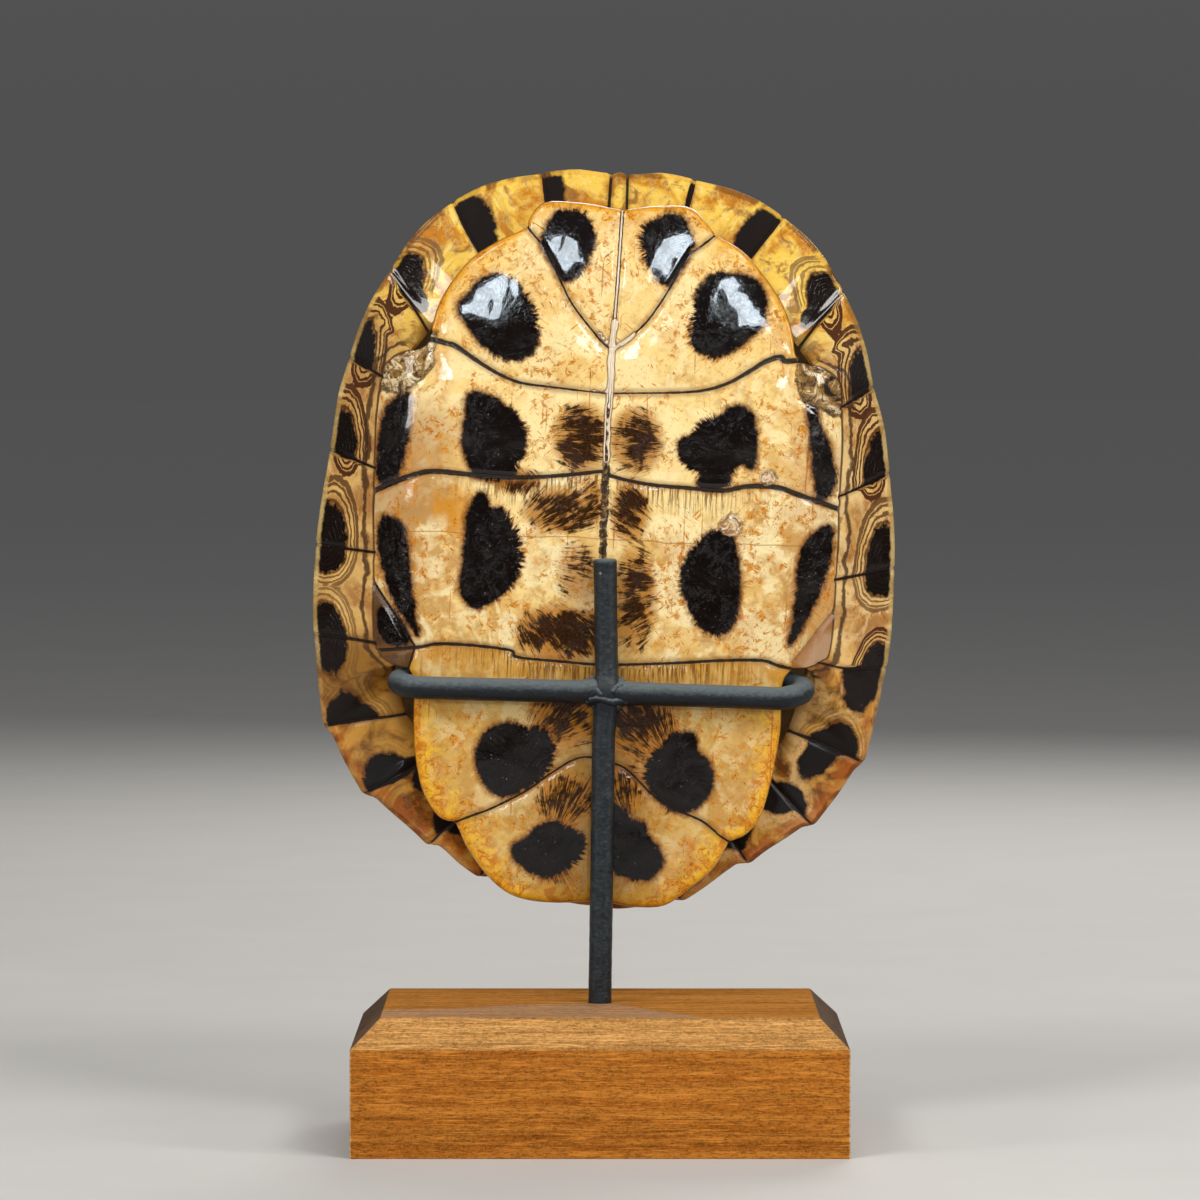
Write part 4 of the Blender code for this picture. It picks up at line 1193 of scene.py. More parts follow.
# %% The plastron's finish
def plastron_finish():
    finish = Finish("plastron_horn", **VARNISH)
    step, noise, mix, lay = finish.tools()
    plan, ray = (finish.attribute(name, "Vector") for name in ("plan", "ray"))
    u, w = (finish.part(plan, axis) for axis in "XZ")
    middle = abs(finish.attribute("midline"))
    blotch, edge, stain = map(finish.attribute, ("blotch", "edge", "stain"))
    clouds = noise(plan, 0.055, 4.0, 0.6, 0.5)
    fine = noise(plan, 0.28, 4.0, 0.65, 0.3)
    grains = noise(plan, 1.3, 3.0, 0.7)
    tailward = step(w, 40.0, -70.0)

    # The ground: cream and yellow clouds, tan towards the bridges, and painted shade that darkens
    # it towards the tail
    headward = step(w, 10.0, 55.0)
    cloudy = step(clouds + headward * 0.06, 0.34, 0.56)
    finish.ground = mix(cloudy, (0.70, 0.42, 0.125), (0.91, 0.67, 0.29))
    outer = step(abs(u), 34.0, 58.0) * (1.0 - headward)
    # The tan reaches further towards the tail, partly as painted shade
    tan = step(clouds * 0.5 + fine * 0.5 + tailward * 0.08 + outer * 0.10, 0.50, 0.64)
    lay(tan * 0.75, (0.44, 0.205, 0.045))
    inner = step(abs(u), 44.0, 24.0) * (1.0 - tailward) * 0.05
    pale = step(noise(plan, 0.075, 3.0, 0.6, 0.9) + inner, 0.50, 0.60)
    lay(pale * 0.8, (0.93, 0.80, 0.46))
    lay(headward * 0.36, (0.86, 0.57, 0.17))
    # Painted shade: the ground darkens towards the tail and over the hind lobe
    lay(tailward * 0.34, (0.52, 0.31, 0.080))
    hind = step(w, -25.0, -45.0)
    lay(hind * 0.36, (0.48, 0.25, 0.025))
    bridge = step(u, -38.0, -50.0) * step(abs(w - 24.0), 20.0, 12.0)
    lay(bridge * 0.62, (0.42, 0.21, 0.07))
    wide = noise(plan, 0.16, 3.0, 0.6, 0.4) - 0.5
    amber_patch = (((u + 43.0) / 7.0) ** 2.0 + ((w - 11.0) / 8.0) ** 2.0) + wide * 3.0
    lay(step(amber_patch, 1.2, 0.3) * 0.8, (0.60, 0.24, 0.012))
    pink = step(noise(plan, 0.09, 3.0, 0.5, 0.3) + step(abs(u), 40.0, 62.0) * 0.14, 0.53, 0.7)
    lay(pink * 0.42, (0.56, 0.29, 0.11))
    # The horn is clean and pale round the pectoral blotches
    calm = step(abs(u), 44.0, 28.0) * step(abs(w - 26.0), 24.0, 10.0)
    lay(calm * 0.5, (0.92, 0.72, 0.33))
    mottle = step(noise(plan, 0.12, 5.0, 0.65, 1.2), 0.56, 0.68) * (1.0 - headward * 0.7)
    mottle = mottle * (1.0 - calm * 0.8)
    lay(mottle * 0.5, (0.40, 0.175, 0.035))
    lay(step(grains, 0.52, 0.72) * 0.22, (0.34, 0.14, 0.03))

    # Amber along the free edges, wider on the hind lobe, and a dark outline of painted shadow in
    # the crease at the edge
    glow = step(edge + (fine - 0.5) * 16.0 - hind * 1.5, 5.0, 0.5)
    lay(glow * (0.50 + hind * 0.15), (0.80, 0.40, 0.010))
    amber = step(edge + (fine - 0.5) * 3.0 - hind * 0.6, 2.0, 0.4)
    lay(amber * 0.85, (0.74, 0.31, 0.006))
    # Painted shadow: a dark line along the free edges, in the crease where the edge turns away
    outline_shade = step(edge + (grains - 0.5) * 0.6, 0.55, 0.05)
    lay(outline_shade * 0.75, (0.20, 0.07, 0.006))
    flame = noise(plan, 0.24, 5.0, 0.75, 0.8)
    near_edge = step(edge + (clouds - 0.5) * 20.0, 11.0, 2.0)
    lay(step(flame, 0.50, 0.38) * near_edge * hind * 0.65, (0.84, 0.50, 0.020))
    rusty = step(flame, 0.52, 0.60) * near_edge * (0.35 + hind * 0.65)
    lay(rusty * 0.85, (0.52, 0.135, 0.003))

    # Rust: flecks in clusters, and dashes in three directions
    near = step(abs(blotch), 16.0, 3.0)
    clusters = noise(plan, 0.085, 2.0, 0.5, 0.6) + glow * 0.06 + near * 0.05 - calm * 0.05
    clusters = step(clusters, 0.48, 0.58)
    flecks = step(noise(plan, 0.40, 5.0, 0.8, 0.5), 0.52, 0.57) * clusters
    dust = step(noise(plan, 1.0, 3.0, 0.7, 0.3), 0.60, 0.66) * 0.5
    dashes = None
    for turn, scale in ((0.15, 0.55), (0.9, 0.5), (-0.8, 0.45)):
        values = {"Vector": plan, "Angle": turn}
        turned_plan = finish.node("ShaderNodeVectorRotate", {"rotation_type": "Y_AXIS"}, values)
        lines = noise(finish.stretch(turned_plan, (2.4, 1.0, 0.45)), scale, 2.0, 0.6, 0.3)
        place = step(noise(turned_plan, 0.07, 1.0), 0.50, 0.60)
        lines = step(lines, 0.64, 0.67) * place
        dashes = lines if dashes is None else dashes.most(lines)
    rust = flecks.most(dashes).most(dust)
    rust_colour = mix(step(rust * grains, 0.46, 0.62), (0.64, 0.24, 0.006), (0.30, 0.065, 0.003))
    lay(rust * 0.90, rust_colour)
    hairs = step(noise(finish.stretch(plan, (2.6, 1.0, 0.12)), 0.33, 1.0), 0.70, 0.73)
    lay(hairs * 0.6, (0.40, 0.10, 0.02))
    dots = step(finish.spots(plan, 0.42), 0.085, 0.055)
    lay(dots * 0.8, (0.14, 0.05, 0.012))

    # Fine strokes across the start of the abdominal and femoral scutes
    stroke_place = finish.stretch(plan, (1.0, 1.0, 0.05))
    strokes = step(noise(stroke_place, 1.5, 3.0, 0.75), 0.46, 0.58)
    behind = finish.attribute("behind") + noise(stroke_place, 0.9, 1.0) * 9.0
    scute = finish.attribute("scute")
    warm = step(behind, 17.0, 5.0) * step(abs(scute - 4.0), 0.6, 0.4)
    lay(warm * 0.70, (0.52, 0.24, 0.022))
    strokes = strokes * step(behind, 14.0, 6.0) * step(abs(scute - 3.5), 0.9, 0.6)
    strokes = strokes * step(abs(u), 54.0, 26.0)
    lay(strokes * 0.9, (0.13, 0.045, 0.007))

    # Stains near the middle line, in streaks that point away from each scute's middle
    fan = noise(finish.stretch(ray, (24.0, 24.0, 0.16)), 1.0, 4.0, 0.75, 0.7)
    lumpy = noise(plan, 0.16, 3.0, 0.6, 0.8)
    streaks = step(fan * 1.2 + stain * 0.38 + (lumpy - 0.5) * 0.8, 0.73, 0.90)
    streaks = streaks * step(stain, 0.0, 0.3)
    streak_colour = mix(step(grains, 0.35, 0.65), (0.010, 0.003, 0.001), (0.040, 0.013, 0.003))
    # Painted shade: a darker brown down the middle of the hind lobe
    painted_hind_shade = step(abs(u) + (lumpy - 0.5) * 24.0, 27.0, 8.0) * hind
    lay(painted_hind_shade * 0.50, (0.19, 0.080, 0.010))
    lay(step(stain + fan * 0.4, 0.22, 0.8) * 0.80, (0.42, 0.150, 0.010))
    smoke = step(stain + (lumpy - 0.5) * 1.8 + (fan - 0.5) * 1.6, 0.36, 0.90)
    lay(smoke * 0.85, (0.060, 0.018, 0.002))
    lay(streaks * 0.94, streak_colour)

    # The blotches, frayed along the same fan
    fray = noise(finish.stretch(ray, (12.0, 12.0, 0.28)), 1.0, 3.0, 0.7, 0.3)
    hairy = finish.attribute("hairy")
    ragged = (1.6 + step(noise(plan, 0.10, 1.0), 0.4, 0.62) * 4.6) * hairy
    lumpy_edge = (noise(plan, 0.38, 5.0, 0.8) - 0.5) * (2.8 + hairy * 1.8)
    blotch_edge = blotch + (fray - 0.5) * ragged + lumpy_edge
    halo = step(blotch_edge + (grains - 0.5) * 1.6, 2.2 - hairy * 0.6, 0.1)
    lay(halo * 0.85, (0.20, 0.06, 0.008))
    dark = step(blotch_edge, 0.75, -0.25)
    black = mix(fine, (0.0015, 0.0008, 0.0006), (0.006, 0.0025, 0.0015))
    lay(dark, black)
    specks = step(finish.spots(plan, 0.75), 0.10, 0.05) * step(fine, 0.52, 0.60)
    lay(specks * 0.75, (0.70, 0.66, 0.58))

    # Crinkled dark skin in the two front corners
    corner = finish.attribute("corner")
    skin = step(corner + (fine - 0.5) * 4.0, 0.5, -0.5) * step(w, 30.0, 36.0)
    wrinkles = noise(plan, 0.13, 4.0, 0.6, 1.8)
    skin_colour = mix(step(wrinkles, 0.36, 0.50), (0.014, 0.006, 0.002), (0.34, 0.17, 0.035))
    skin_colour = mix(step(wrinkles, 0.49, 0.58), skin_colour, (0.80, 0.62, 0.36))
    folds = step(abs(noise(plan, 0.35, 2.0, 0.5, 1.0) - 0.5), 0.03, 0.01)
    skin_colour = mix(folds * 0.8, skin_colour, (0.016, 0.007, 0.003))
    lay(skin, skin_colour)
    # The corners behind the bridges: a dark painted shadow on the left, and a smooth beige on the
    # right
    rear_corner = step(corner, 0.3, -0.3) * step(w, -5.0, -9.0) * (1.0 - dark)
    beige = mix(step(clouds, 0.35, 0.6), (0.30, 0.155, 0.075), (0.41, 0.235, 0.135))
    border = step(corner + (fine - 0.5) * 5.0, -3.0, -0.6).most(step(w, -20.5, -17.5))
    beige = mix(border * 0.85, beige, (0.26, 0.085, 0.010))
    # Painted shadow: the left corner is laid nearly black
    corner_colour = mix(step(u, -2.0, 2.0), (0.055, 0.020, 0.005), beige)
    lay(rear_corner * (1.1 - fine * 0.4), corner_colour)

    # Seams: dark lines with painted shade beside them, and the pale bead of glue on the middle line
    wobble = (noise(plan, 0.5, 2.0) - 0.5) * 0.4
    across_seam = abs(finish.attribute("seam_across")) + wobble
    seam = step(across_seam / finish.attribute("seam_wide"), 1.25, 0.75)
    corner_line = step(abs(corner) + wobble, 0.36, 0.20) * step(w, 20.0, 10.0)
    corner_line = corner_line * (1.0 - step(u, -2.0, 2.0) * 0.75)
    # Towards the front the middle seam is double, with a pale line between
    parted = step(w, 58.0, 66.0)
    core = step(middle + wobble * 0.4, 0.30, 0.16) * parted
    lines = step(middle + wobble, 0.36 + parted * 0.26, 0.20 + parted * 0.26)
    lines = seam.most(lines).most(corner_line) * (1.0 - core)
    # Painted shade: a brown band beside each seam, outside the blotches
    shade = step(across_seam, 2.0, 0.4) * 0.5 * (1.0 - dark)
    lay(shade, (0.24, 0.09, 0.015))
    lay(lines * 0.97, (0.010, 0.004, 0.002))
    lay(core * 0.85, (0.78, 0.62, 0.50))
    glue_away = finish.attribute("glue") + wobble + (noise(plan, 0.22, 2.0) - 0.5) * 1.3
    glue = step(glue_away, 0.95, 0.70)
    glue_colour = mix(noise(plan, 0.5, 3.0), (0.72, 0.50, 0.31), (0.98, 0.90, 0.72))
    lay(step(glue_away, 1.35, 0.95) * 0.75, (0.12, 0.045, 0.012))
    lay(glue, glue_colour)
    crack = step(abs(glue_away - 0.36), 0.16, 0.05) * step(w, 50.0, 43.0) * glue
    lay(crack, (0.07, 0.025, 0.012))
    crust = noise(plan, 0.42, 3.0, 0.65, 1.0)
    rough = step(middle + (crust - 0.5) * 2.4, 1.15, 0.85) * step(w, 28.0, 25.0)
    rough = rough * step(w, -2.0, 1.0)
    rough_colour = mix(step(crust, 0.44, 0.58), (0.016, 0.006, 0.002), (0.22, 0.11, 0.03))
    rough_colour = mix(step(crust, 0.58, 0.66), rough_colour, (0.80, 0.66, 0.44))
    lay(rough * 0.95, rough_colour)

    # The bone's own joint showing through the abdominal scutes, and the resin in two pits, whose
    # rims carry a painted white highlight in places
    joint = step(abs(w - 5.0 + (noise(plan, 0.1, 1.0) - 0.5) * 2.0), 0.26, 0.08)
    lay(joint * 0.6 * (1.0 - dark), (0.30, 0.12, 0.02))
    resin = noise(plan, 0.40, 3.0, 0.6, 1.5)
    pit = finish.attribute("pit") + (resin - 0.5) * 1.3
    ring = step(abs(pit - 0.85), 0.28, 0.06)
    resin_colour = mix(step(resin, 0.42, 0.60), (0.30, 0.14, 0.045), (0.78, 0.60, 0.40))
    lay(step(pit, 1.05, 0.85) * 0.85, resin_colour)
    # Painted highlight: white on parts of each pit's rim
    lay(ring * step(resin, 0.54, 0.60) * 0.8, (0.95, 0.91, 0.84))

    grain_lines = noise(finish.stretch(ray, (6.0, 6.0, 0.12)), 1.0, 3.0, 0.6)
    relief = fine * 0.07 + grain_lines * 0.035 + grains * 0.008 - lines * 0.35
    relief = relief + glue * 0.2 - rust * 0.04 + ring * 0.5
    relief = relief + (skin * wrinkles) * 3.4 + rough * crust * 1.6 + specks * 0.04
    # The varnish lies thick on the throat and is worn towards the tail
    varnish = (step(w, -10.0, 50.0) * 0.65 + 0.08) * (0.4 + dark.most(skin) * 0.6)
    roughness = 0.02 + fine * 0.04 + rust * 0.1 + rear_corner * 0.3
    return finish.done(roughness, relief, Coat_Weight=varnish)


# %% [markdown]
# The marginals are warmer than the plastron: orange at the front, tan over the bridges and
# brown at the tail. Rings like the lines of a fingerprint surround their dark blotches.


# %% The marginals' finish
def wrap_colour(finish, side, clouds):
    """The upper horn where it is thin at the rim: amber, then pale, then reddish at the tail."""
    step, mix = finish.step, finish.mix
    amber = mix(step(clouds, 0.42, 0.58), (0.16, 0.055, 0.006), (0.78, 0.44, 0.05))
    pale = mix(step(clouds, 0.40, 0.60), (0.40, 0.24, 0.07), (0.62, 0.44, 0.18))
    tail = mix(step(clouds, 0.42, 0.58), (0.12, 0.030, 0.006), (0.42, 0.21, 0.055))
    colour = mix(step(side, 2.8, 4.0), amber, pale)
    return mix(step(side, 6.8, 7.6), colour, tail)


def marginal_finish():
    finish = Finish("marginal_horn", **dict(VARNISH, Specular_IOR_Level=0.3))
    step, noise, mix, lay = finish.tools()
    plan = finish.attribute("plan", "Vector")
    side, mark, ringed, rim_away, lip_away, bridge = (
        finish.attribute("m_" + name) for name in ("side", "mark", "rings", "rim", "lip", "bridge")
    )
    seam_away = abs(finish.attribute("m_seam"))
    clouds = noise(plan, 0.10, 4.0, 0.6, 0.7)
    fine = noise(plan, 0.42, 4.0, 0.65, 0.3)
    grains = noise(plan, 1.2, 3.0, 0.7)

    front = mix(step(clouds, 0.39, 0.57), (0.56, 0.20, 0.008), (0.93, 0.60, 0.090))
    front = mix(step(fine, 0.50, 0.62) * 0.5, front, (0.96, 0.74, 0.27))
    bruise = step(noise(plan, 0.16, 4.0, 0.65, 0.8), 0.54, 0.66)
    front = mix(bruise * 0.8, front, (0.27, 0.10, 0.025))
    middle = mix(step(clouds, 0.36, 0.64), (0.40, 0.185, 0.055), (0.70, 0.42, 0.14))
    rear = mix(step(clouds, 0.38, 0.58), (0.15, 0.045, 0.005), (0.60, 0.29, 0.045))
    u = finish.part(plan, "X")
    # Painted light: pale patches on the right side, which the light reaches more
    painted_right_light = step(noise(plan, 0.075, 4.0, 0.6, 0.9), 0.42, 0.56) * step(u, 0.0, 20.0)
    middle = mix(painted_right_light * 0.6, middle, (0.86, 0.62, 0.29))
    rear = mix(painted_right_light * 0.8, rear, (0.80, 0.50, 0.19))
    finish.ground = mix(step(side + (clouds - 0.5), 2.8, 4.0), front, middle)
    lay(step(side + (clouds - 0.5), 6.8, 7.4), rear)
    rust = step(fine, 0.54, 0.64) * step(clouds, 0.60, 0.45)
    lay(rust * 0.7, (0.34, 0.10, 0.008))
    tail_end = step(side, 7.0, 8.0)
    ember = step(rim_away + (fine - 0.5) * 22.0 + (clouds - 0.5) * 14.0, 3.6, 0.4) * tail_end
    lay(ember * 0.70, (0.46, 0.11, 0.005))
    lay(step(grains, 0.5, 0.72) * 0.25, (0.25, 0.10, 0.02))

    # Yellow and brown rings round each blotch
    wave = (noise(plan, 0.28, 3.0, 0.6) - 0.5) * 0.22
    ring_place = mark + wave
    inside = step(ring_place, RING_LAST + 0.04, RING_LAST - 0.04) * ringed
    turns = (ring_place - RING_FIRST) * (math.tau / RING_PITCH)
    line = step(turns.math("SINE"), -0.15, 0.55)
    last = step(abs(ring_place - RING_LAST + 0.09), 0.085, 0.045)
    lay(inside * 0.45, (0.72, 0.44, 0.13))
    lay(inside * line.most(last) * 1.08, (0.080, 0.024, 0.008))
    # Painted shade: the rear marginals on the left are darker
    painted_left_shade = step(u, 10.0, -10.0) * step(side, 8.1, 7.7) * step(side, 6.9, 7.2)
    lay(painted_left_shade * 0.6, (0.085, 0.028, 0.003))
    blot = mark + wave + (fine - 0.5) * 0.5
    lay(step(blot, 1.18, 1.0) * 0.75, (0.15, 0.05, 0.008))
    black = mix(fine, (0.003, 0.0015, 0.001), (0.012, 0.006, 0.004))
    blot = step(blot, 1.06, 0.94)
    lay(blot, black)

    # Dark lines beside the bridge's seam, painted shade in the hollow by the lip, and the seams
    # between the marginals with painted shade beside them
    wobble = (noise(plan, 0.16, 3.0, 0.6) - 0.5) * 5.0
    beside = step(abs(lip_away + wobble - 3.0), 0.95, 0.35)
    beside = beside.most(step(lip_away + wobble * 0.12, 0.8, 0.4)) * bridge
    lay(beside * 0.88, (0.055, 0.022, 0.008))
    # Painted shade: darker near the lip, where the undersides lie in shadow
    painted_hollow_shade = step(lip_away + wobble * 0.5, 5.5, 0.5) * (1.0 - bridge) * 0.6
    lay(painted_hollow_shade, (0.10, 0.035, 0.006))
    seam = step(seam_away + wobble * 0.06, 0.46, 0.24)
    # Painted shade: a brown band beside each seam, outside the blotches
    lay(step(seam_away, 1.6, 0.4) * 0.4 * (1.0 - blot), (0.16, 0.06, 0.012))
    lay(seam * 0.97, (0.012, 0.005, 0.003))

    # A thin line where the upper horn wraps round the rim
    wrap = step(rim_away + (fine - 0.5) * 1.6, 0.9, 0.15)
    lay(wrap * 0.75, wrap_colour(finish, side, clouds))

    ripple = noise(plan, 0.2, 3.0, 0.6, 0.5)
    relief = ripple * 0.13 + fine * 0.05 - seam * 0.4 - beside * 0.3 - inside * line * 0.06
    dull = step(side, 6.5, 7.3) * 0.28 + step(side, 2.7, 2.2) * 0.55
    # The varnish is thick again where the third marginals turn towards the sides
    varnish = step(side, 2.0, 2.5) * (step(side, 4.2, 3.6) * 0.55 + 0.08)
    return finish.done(0.07 + fine * 0.10 + rust * 0.08 + dull, relief, Coat_Weight=varnish)


# %% [markdown]
# The carapace faces away here. On a slider it is olive brown with yellow bars, and each
# scute keeps the rings of its yearly growth, which follow its seams inward.


# %% The carapace's finish and the bare bone inside
def carapace_finish():
    finish = Finish("carapace_horn", **VARNISH)
    step, noise, mix, lay = finish.tools()
    plan = finish.attribute("plan", "Vector")
    ring_edge, mark = map(finish.attribute, ("c_ring", "m_mark"))
    column, cross, m_seam = (
        abs(finish.attribute(name)) for name in ("c_column", "c_cross", "m_seam")
    )
    on_marginal = step(ring_edge, 0.05, -0.05)
    upper_edge = column.least(cross)
    scute_edge = abs(ring_edge).least(upper_edge + on_marginal * FAR)
    scute_edge = scute_edge.least(m_seam + (1.0 - on_marginal) * FAR)

    clouds = noise(plan, 0.07, 4.0, 0.6, 0.6)
    fine = noise(plan, 0.45, 4.0, 0.65, 0.3)
    finish.ground = mix(step(clouds, 0.35, 0.65), (0.045, 0.032, 0.010), (0.13, 0.10, 0.028))
    wave = (noise(plan, 0.10, 3.0, 0.6) - 0.5) * 9.0
    bar = step(cross + wave, 14.5, 17.0) * step(cross + wave, 27.0, 24.0) * (1.0 - on_marginal)
    thin = step(((cross + wave * 0.6) * 0.9).math("SINE"), 0.55, 0.95) * step(fine, 0.35, 0.6)
    lay(bar * 0.75, (0.42, 0.27, 0.05))
    lay(thin * 0.45 * (1.0 - on_marginal), (0.30, 0.19, 0.04))
    rim_bar = step(mark + wave * 0.03, 1.5, 1.25) * step(mark + wave * 0.03, 0.95, 1.15)
    lay(rim_bar * on_marginal * 0.8, (0.48, 0.30, 0.06))
    lay(step(mark, 1.0, 0.85) * on_marginal, (0.015, 0.009, 0.004))
    growth = (scute_edge + (clouds - 0.5) * 1.5) * 3.2
    annuli = growth.math("SINE") * step(scute_edge, 16.0, 1.0)
    lay(step(annuli, 0.3, 0.9) * 0.35, (0.025, 0.017, 0.006))
    seam = step(scute_edge + (fine - 0.5) * 0.4, 0.55, 0.25)
    lay(seam, (0.012, 0.007, 0.004))
    rim_band = step(finish.attribute("m_rim") + (fine - 0.5) * 1.2, -2.0, -0.7) * 0.85
    lay(rim_band, wrap_colour(finish, finish.attribute("m_side"), clouds))

    relief = annuli * 0.05 + noise(plan, 0.25, 3.0, 0.6) * 0.15 - seam * 0.4 + fine * 0.05
    return finish.done(0.10 + fine * 0.14, relief)


def bone_finish():
    finish = Finish("dry_bone", IOR=1.45)
    step, noise, mix, lay = finish.tools()
    plan = finish.attribute("plan", "Vector")
    clouds = noise(plan, 0.06, 4.0, 0.6, 0.4)
    fine = noise(plan, 0.7, 4.0, 0.7)
    finish.ground = mix(clouds, (0.50, 0.36, 0.20), (0.72, 0.60, 0.42))
    lay(step(fine, 0.58, 0.68) * 0.5, (0.26, 0.15, 0.07))
    return finish.done(0.6 + fine * 0.2, fine * 0.2 + clouds * 0.3)


# %% Make the shell
upper = marks["c_ring"] > 0.0
top_seams = np.where(upper, np.minimum(abs(marks["c_column"]), abs(marks["c_cross"])), FAR)
rim_seams = np.where(upper, FAR, abs(marks["m_seam"]))
groove = np.min([
    abs(marks["seam_across"]), abs(marks["midline"]), abs(marks["corner"]),
    top_seams, rim_seams, abs(marks["c_ring"]),
], axis=0)
glue_away = np.min([
    line_distance(belly_plan, smooth_line(line)) + thinner
    for line, thinner in zip(GLUE_LINES, (0.0, 0.5, 0.45, 0.6))
], axis=0)
store("glue", belly, glue_away)
marks["groove"] = groove
marks["groove_share"] = np.clip(marks["glue"] / 2.5, 0.0, 1.0)
marks["swell_share"] = 0.2 + 0.8 * np.clip((points[:, 2] - 20.0) / 25.0, 0.0, 1.0)

turned = np.array([
    (math.cos(SHELL_ROLL), 0.0, math.sin(SHELL_ROLL)),
    (0.0, 1.0, 0.0),
    (-math.sin(SHELL_ROLL), 0.0, math.cos(SHELL_ROLL)),
])
shell_mesh = bpy.data.meshes.new("shell_net")
shell_mesh.from_pydata((points @ turned.T + SHELL_PLACE) * MM, [], net.faces)
for name, values in marks.items():
    stored = shell_mesh.attributes.new(name, "FLOAT", "POINT")
    stored.data.foreach_set("value", values.astype(np.float32))
for name, values in (("plan", points), ("ray", ray)):
    stored = shell_mesh.attributes.new(name, "FLOAT_VECTOR", "POINT")
    stored.data.foreach_set("vector", values.astype(np.float32).ravel())
stored = shell_mesh.attributes.new("zone", "INT", "FACE")
stored.data.foreach_set("value", np.array(net.zones, np.int32))

whole = bmesh.new()
whole.from_mesh(shell_mesh)
loose = [vert for vert in whole.verts if not vert.link_faces]
bmesh.ops.delete(whole, geom=loose, context="VERTS")
bmesh.ops.recalc_face_normals(whole, faces=whole.faces[:])
open_edges = sum(1 for edge in whole.edges if len(edge.link_faces) != 2)
whole.to_mesh(shell_mesh)
whole.free()
shell_mesh.shade_smooth()
print("unused points dropped:", len(loose), "open edges:", open_edges)

shell_finishes = [plastron_finish(), marginal_finish(), carapace_finish(), bone_finish()]
shell = grow("slider_shell", shell_mesh, carving_tree(shell_finishes))
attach(shell, "root")
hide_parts("turtle_shell")

# %% [markdown]
# ## The painted steel
# Round bar was bent, welded and brushed with charcoal paint. Each bar follows a path, so a
# geometry tree sweeps a circle along it, and a little noise keeps the paint from looking
# machined. The welds are runs of overlapping beads, melted together through a volume.

# %% Sweep the bars
ROD_RADIUS = 3.25
ROD_TOP = 162.8
ROD_FOOT = 13.3
WELD_HEIGHT = 125.2
ARM_BEND_RADIUS = 6.2
ROD_LINE = [(-0.15, 30.0), (1.0, 112.0), (1.9, 128.0), (1.4, ROD_TOP)]
ARMS = {
    "left": {"bend_x": -50.4, "end_x": -33.0, "weld_z": 125.4, "front_z": 126.6, "rear_z": 129.3},
    "right": {"bend_x": 51.0, "end_x": 34.0, "weld_z": 124.9, "front_z": 123.5, "rear_z": 127.7},
}


def rod_x(z):
    """Where the rod's centre line runs at a height; below its first point it leans on."""
    (x0, z0), (x1, z1) = ROD_LINE[:2]
    low = x0 + (x1 - x0) * (z - z0) / (z1 - z0)
    return np.where(z < z0, low, np.interp(z, [p[1] for p in ROD_LINE], [p[0] for p in ROD_LINE]))


def resample(path, step):
    """Points every few tenths of a millimetre along a path."""
    path = np.array(path, float)
    length = line_length(path)
    wanted = np.linspace(0.0, length[-1], max(2, int(length[-1] / step)))
    return np.stack([np.interp(wanted, length, path[:, axis]) for axis in range(3)], axis=1)


def path_mesh(name, paths, radii):
    """Open lines of points with a radius at each, for a geometry tree to sweep."""
    mesh = bpy.data.meshes.new(name)
    edges, first = [], 0
    for path in paths:
        edges += [(first + i, first + i + 1) for i in range(len(path) - 1)]
        first += len(path)
    mesh.from_pydata(np.concatenate(paths) * MM, edges, [])
    stored = mesh.attributes.new("bar_radius", "FLOAT", "POINT")
    stored.data.foreach_set("value", (np.concatenate(radii) * MM).astype(np.float32))
    return mesh


def steel_finish():
    finish = Finish("charcoal_paint", IOR=1.33)
    step, noise, mix, lay = finish.tools()
    place = finish.place()
    brushed = noise(finish.stretch(place, (1.0, 1.0, 1.6)), 0.7, 4.0, 0.7)
    patches = noise(place, 0.09, 3.0, 0.6)
    speckle = noise(place, 2.6, 2.0, 0.7)
    finish.ground = mix(patches, (0.004, 0.0055, 0.0075), (0.009, 0.013, 0.017))
    lay(step(brushed, 0.50, 0.72) * 0.5, (0.018, 0.022, 0.027))
    lay(step(speckle, 0.56, 0.72) * 0.35, (0.036, 0.040, 0.046))
    # Lighter on what faces up: dust, and a painted sheen of the light from above
    facing = finish.node("ShaderNodeNewGeometry", out="Normal")
    upward = finish.part(facing, "Z")
    dust = step(upward + (brushed - 0.5) * 0.8, -0.15, 0.95)
    lay(dust * 0.90, (0.145, 0.172, 0.182))
    chips = step(finish.spots(place, 0.10), 0.045, 0.03)
    lay(chips * 0.7, (0.30, 0.29, 0.28))
    relief = brushed * 0.22 + patches * 0.4 + speckle * 0.05
    return finish.done(0.24 + brushed * 0.18, relief)


def bar_tree(finish):
    tree = new_geometry_tree("painted_bar", {"Sides": 40, "Unevenness": 0.00012, "Seed": 3})
    size = tree.inputs
    curve = tree.node("GeometryNodeMeshToCurve", values=(size["Geometry"],))
    values = {"Resolution": size["Sides"], "Radius": 1.0}
    circle = tree.node("GeometryNodeCurvePrimitiveCircle", values=values)
    values = {
        "Curve": curve, "Profile Curve": circle, "Scale": named(tree, "bar_radius"),
        "Fill Caps": True,
    }
    bar = tree.node("GeometryNodeCurveToMesh", values=values)
    where = tree.vector("ADD", tree.node("GeometryNodeInputPosition"), size["Seed"])
    noise = tree.node("ShaderNodeTexNoise", values={"Vector": where, "Scale": 260.0, "Detail": 3.0})
    push = (noise - 0.5) * size["Unevenness"] * 2.0
    bar = tree.node("GeometryNodeSetShadeSmooth", values={"Geometry": shift(tree, bar, push)})
    close_tree(tree, bar, [finish])
    return tree


steel = steel_finish()
bars = bar_tree(steel)
